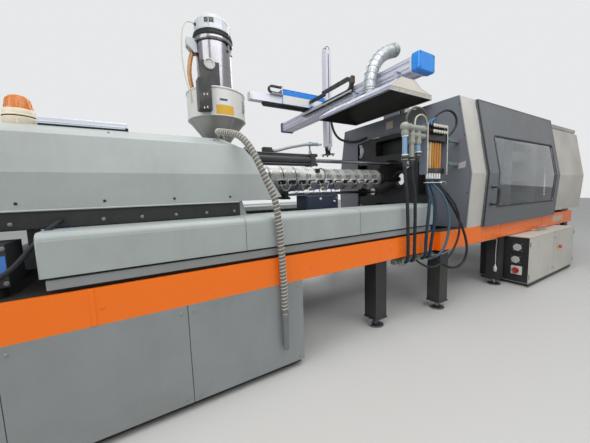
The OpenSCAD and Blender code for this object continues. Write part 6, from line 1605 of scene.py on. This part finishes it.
def robot_dress():
    # Extruded beam: grooves along both flanks with raised lips, bright ends and rounded caps
    lips = Piece()
    for x, out in ((-640, -1), (-350, 1)):
        for z in (3012, 3040, 3058, 3120, 3140, 3168):
            lips.prism([(x, z - 4), (x + out * 3.4, z - 2.4), (x + out * 3.4, z + 2.4), (x, z + 4)],
                       -556, 2974, "y")
    for x in (-600, -400):
        lips.prism(rounded((x - 24, x + 24), (2990, 3000.2), 3), -556, 2974, "y")
    lips.done("beam_profile_lips", "root", "beam_aluminium", ALU_EXTRUSION, bevel=0.6)
    near = Piece()
    near.prism(rounded((-668, -322), (2974, 3212), 34, 8), -700, -585, "y")
    near.done("beam_near_cap", "root", "robot_blue", BLUE_CAP, bevel=16, segments=4)
    near = Piece()
    near.prism(rounded((-656, -334), (2986, 3200), 28, 8), -584.6, -556, "y")
    near.prism([(-520, 3212), (-470, 3212), (-474, 3219), (-516, 3219)], -680, -600, "y")
    near.done("beam_near_flange", "root", "robot_paint", END_WHITE, bevel=2)
    bolts("beam_cap_screws", [(x, -700.5, z) for x in (-636, -354) for z in (3006, 3180)], (0, -1, 0), "root",
          "box_black", 7, 4, sides=16)
    far = Piece()
    far.prism(rounded((-664, -326), (2978, 3208), 30, 8), 3002, 3064, "y")
    far.done("beam_far_cap", "root", "robot_blue", INDIGO_CAP, bevel=10, segments=4)
    rack = Piece()
    for y in range(-540, 2960, 50):
        rack.block((-560, -536), (y, y + 22), (3185, 3193))
    rack.block((-566, -530), (-548, 2966), (3184.8, 3188))
    rack.done("beam_rack", "root", "track_steel", bevel=0.5)
    bolts("beam_rail_screws", [(-480, y, 3185.5) for y in range(-480, 2960, 240)], (0, 0, 1), "root",
          "box_black", 6, 3)
    # Everything on the arm keeps within its section, so that it passes through the yoke
    arm = Piece()
    for y in (1830.3, 1965.2):
        arm.block((-119.6, -100.4), (y, y + 4.5), (2532, 4401))
    arm.done("arm_slot_strips", "robot_arm", "chain_black", bevel=0.6)
    cap = Piece()
    cap.prism(rounded((-179.5, -40.5), (1830.5, 1969.5), 14, 6), 4463.2, 4474, "z")
    cap.prism(rounded((-160, -60), (1850, 1950), 12, 6), 4473.5, 4482, "z")
    cap.done("arm_top_cap", "robot_arm", "robot_paint", END_WHITE, bevel=4, segments=3)
    # Two cables that loop over the arm's top
    for k, y in enumerate((1862, 1938)):
        hose(f"arm_cable_{k + 1}", "robot_arm", "hose_black",
             [(-162, y, 4482), (-163, y, 4504), (-156, y, 4532), (-136, y, 4552), (-110, y, 4559),
             (-84, y, 4552), (-64, y, 4532), (-57, y, 4504), (-58, y, 4482)], 6, sides=12)


def kick_dress():
    # Box on the kick beam's end, a black rail under it and its own energy chain, which stands still
    box = Piece()
    box.prism(rounded((1830.4, 1969.6), (3219.4, 3358.6), 10), -1926, -1884.2)
    box.done("kick_beam_end_box", "kick_beam", "robot_paint", END_WHITE, bevel=3)
    rail = Piece()
    rail.prism(rounded((1862, 1938), (3176, 3207), 5), -1661, -655)
    rail.prism(rounded((1874, 1926), (3150, 3177), 5), -1640, -690)
    rail.prism(rounded((1862, 1938), (3200, 3213), 3), -700, -645)
    rail.done("carriage_lower_rail", "robot_carriage", "gripper_dark", bevel=1.5)
    links = Piece()
    path = [(-1290 - 21 * k, 3380) for k in range(11)]
    path += bend((-1504, 3438), 58, range(252, 107, -18))
    path += [(-1500 + 21 * k, 3496) for k in range(11)]
    for (x0, z0), (x1, z1) in zip(path, path[1:]):
        way = Vector((x1 - x0, 0, z1 - z0)).normalized()
        mid = Vector(((x0 + x1) / 2, 1790, (z0 + z1) / 2))
        part = Piece()
        for y in (-26, 21):
            part.prism(rounded((-11, 11), (-15, 15), 4), y, y + 5, "y")
        for z in (-14, 11):
            part.block((-6, 6), (-21, 21), (z, z + 3))
        turn = Matrix(((way.x, 0, -way.z), (0, 1, 0), (way.z, 0, way.x))).to_4x4()
        links.join(part, Matrix.Translation(mid) @ turn)
    links.done("kick_chain_links", "robot_carriage", "chain_black", bevel=0.8)
    tray = Piece()
    tray.prism([(1762, 3360), (1832, 3360), (1832, 3363), (1765, 3363), (1765, 3372), (1762, 3372)],
               -1520, -1270)
    tray.prism([(1762, 3514), (1818, 3514), (1818, 3517), (1762, 3517)], -1330, -1270)
    tray.prism([(1762, 3363), (1765, 3363), (1765, 3515), (1762, 3515)], -1300, -1276)
    tray.done("kick_chain_tray", "robot_carriage", "robot_paint", bevel=0.8)
    cover = Piece()
    cover.prism(rounded((-1250, -274), (3486.6, 3500), 6), 1826, 1974, "y")
    for x in (-1230, -320):
        cover.block((x, x + 30), (1808, 1812), (3390, 3474))
    cover.done("carriage_cover_lid", "robot_carriage", "robot_blue", bevel=2)
    bolts("carriage_cover_screws", [(x, 1809.5, z) for x in range(-1220, -280, 180) for z in (3394, 3470)],
          (0, -1, 0), "robot_carriage", "box_black", 6, 3, sides=16)
    # White skins on the carriage's flanks leave only its top cover blue
    skin_plates = Piece()
    for s in (-1, 1):
        y = 1900 + s * 91
        skin_plates.prism(rounded((-1260, -264), (3214, 3376), 4), y + s * 0.4, y + s * 2.2, "y")
    skin_plates.done("carriage_side_skins", "robot_carriage", "robot_paint", END_WHITE, bevel=0.6)
    hose("beam_drop_hose", "root", "hose_black", [(-500, 1295, 2998), (-499, 1292, 2900), (-490, 1270, 2760),
         (-470, 1215, 2600), (-440, 1120, 2480), (-410, 1002, 2415), (-392, 860, 2370), (-384, 716, 2352),
         (-384, 600, 2356), (-380, 520, 2364), (-370, 480, 2370)], 22)


def chain_dress():
    # Tray of the cross chain: folded lips, feet and the ends of its cables
    tray = Piece()
    tray.prism([(-722, 3084), (-720, 3084), (-720, 3112), (-722, 3112)], 462, 1998, "y")
    for y in (500, 1180, 1900):
        tray.block((-760, -642), (y, y + 20), (3078, 3083.8))
    tray.done("chain_tray_folds", "root", "robot_paint", bevel=0.8)
    # Strand between the tray and the carriage, beside the chain that stays on the beam
    strand = Piece()
    for k in range(9):
        y = 1332 + 52 * k
        for x in (-654, -604):
            strand.prism(rounded((y - 24, y + 24), (3294, 3346), 9), x, x + 7)
        strand.block((-648, -603), (y - 8, y + 8), (3296, 3301))
        strand.block((-648, -603), (y - 8, y + 8), (3339, 3344))
    strand.block((-650, -600), (1768, 1807), (3299, 3341))
    strand.done("carriage_chain_links", "robot_carriage", "chain_black", bevel=0.8)
    block = Piece()
    block.prism(rounded((-722, -650), (3214, 3330), 8), 456, 492, "y")
    for z in (3240, 3272, 3304):
        block.rod((-686, 450, z), (-686, 458, z), 9, 16)
    block.done("chain_end_block", "root", "chain_black", BROWN_BLOCK, bevel=2)
    foot = Piece()
    foot.prism(rounded((-360, -60), (-184, 184), 14), 2352, 2362, "z")
    foot.done("riser_foot_plate", "root", "robot_paint", bevel=1.5)
    bolts("riser_bolts", [(x, y, 2364) for x in (-336, -84) for y in (-160, 160)], (0, 0, 1), "root",
          "foot_steel", 12, 9)
    valve = Piece()
    valve.prism(rounded((-318, -240), (2560, 2700), 8), -176, -150, "y")
    for k in range(4):
        valve.rod((-304 + 17 * k, -176, 2672), (-304 + 17 * k, -184, 2672), 5, 12)
        valve.rod((-304 + 17 * k, -176, 2590), (-304 + 17 * k, -188, 2590), 6, 12)
    valve.done("riser_valve_block", "root", "box_black", bevel=1.5)


fume_dress()
duct_dress()
robot_dress()
kick_dress()
chain_dress()


# Floor, light and background
def stage_setting():
    bpy.ops.mesh.primitive_plane_add(size=80, location=(0, 0, -0.002))
    floor = bpy.context.object
    floor.name = "floor"
    made, tree, shader, place = finish_start("pale_floor", Roughness=0.55)
    shader.inputs["Base Color"].default_value = hue("#c9c9c6")
    floor.data.materials.append(made)

    world = bpy.data.worlds.new("studio")
    bpy.context.scene.world = world
    world.use_nodes = True
    tree = world.node_tree
    back = tree.nodes["Background"]
    path = add(tree, "ShaderNodeLightPath")
    sharp = add(tree, "ShaderNodeMath", {0: path.outputs["Is Camera Ray"], 1: path.outputs["Is Glossy Ray"]},
                operation="MAXIMUM")
    seen = add(tree, "ShaderNodeMath", {0: sharp.outputs[0], 1: path.outputs["Is Transmission Ray"]},
               operation="MAXIMUM")
    light = add(tree, "ShaderNodeMix", {0: seen.outputs[0], 6: (0.36, 0.37, 0.39, 1),
                7: (0.80, 0.81, 0.82, 1)}, data_type="RGBA")
    tree.links.new(light.outputs[2], back.inputs["Color"])

    for name, place, aim, size, power in (
        ("roof_light", (-1.0, -3.4, 6.2), (0, -0.6, 1.0), 6.0, 330),
        ("rear_light", (1.5, 4.5, 6.5), (0, 0, 1.5), 5.0, 190),
        ("left_light", (-7.5, -3.0, 4.5), (-1, -0.5, 1.2), 4.0, 130),
    ):
        data = bpy.data.lights.new(name, "AREA")
        data.size = size
        data.energy = power
        lamp = bpy.data.objects.new(name, data)
        lamp.location = place
        lamp.rotation_euler = (Vector(aim) - Vector(place)).to_track_quat("-Z", "Y").to_euler()
        bpy.context.scene.collection.objects.link(lamp)


stage_setting()
bpy.context.scene.view_settings.view_transform = "Standard"
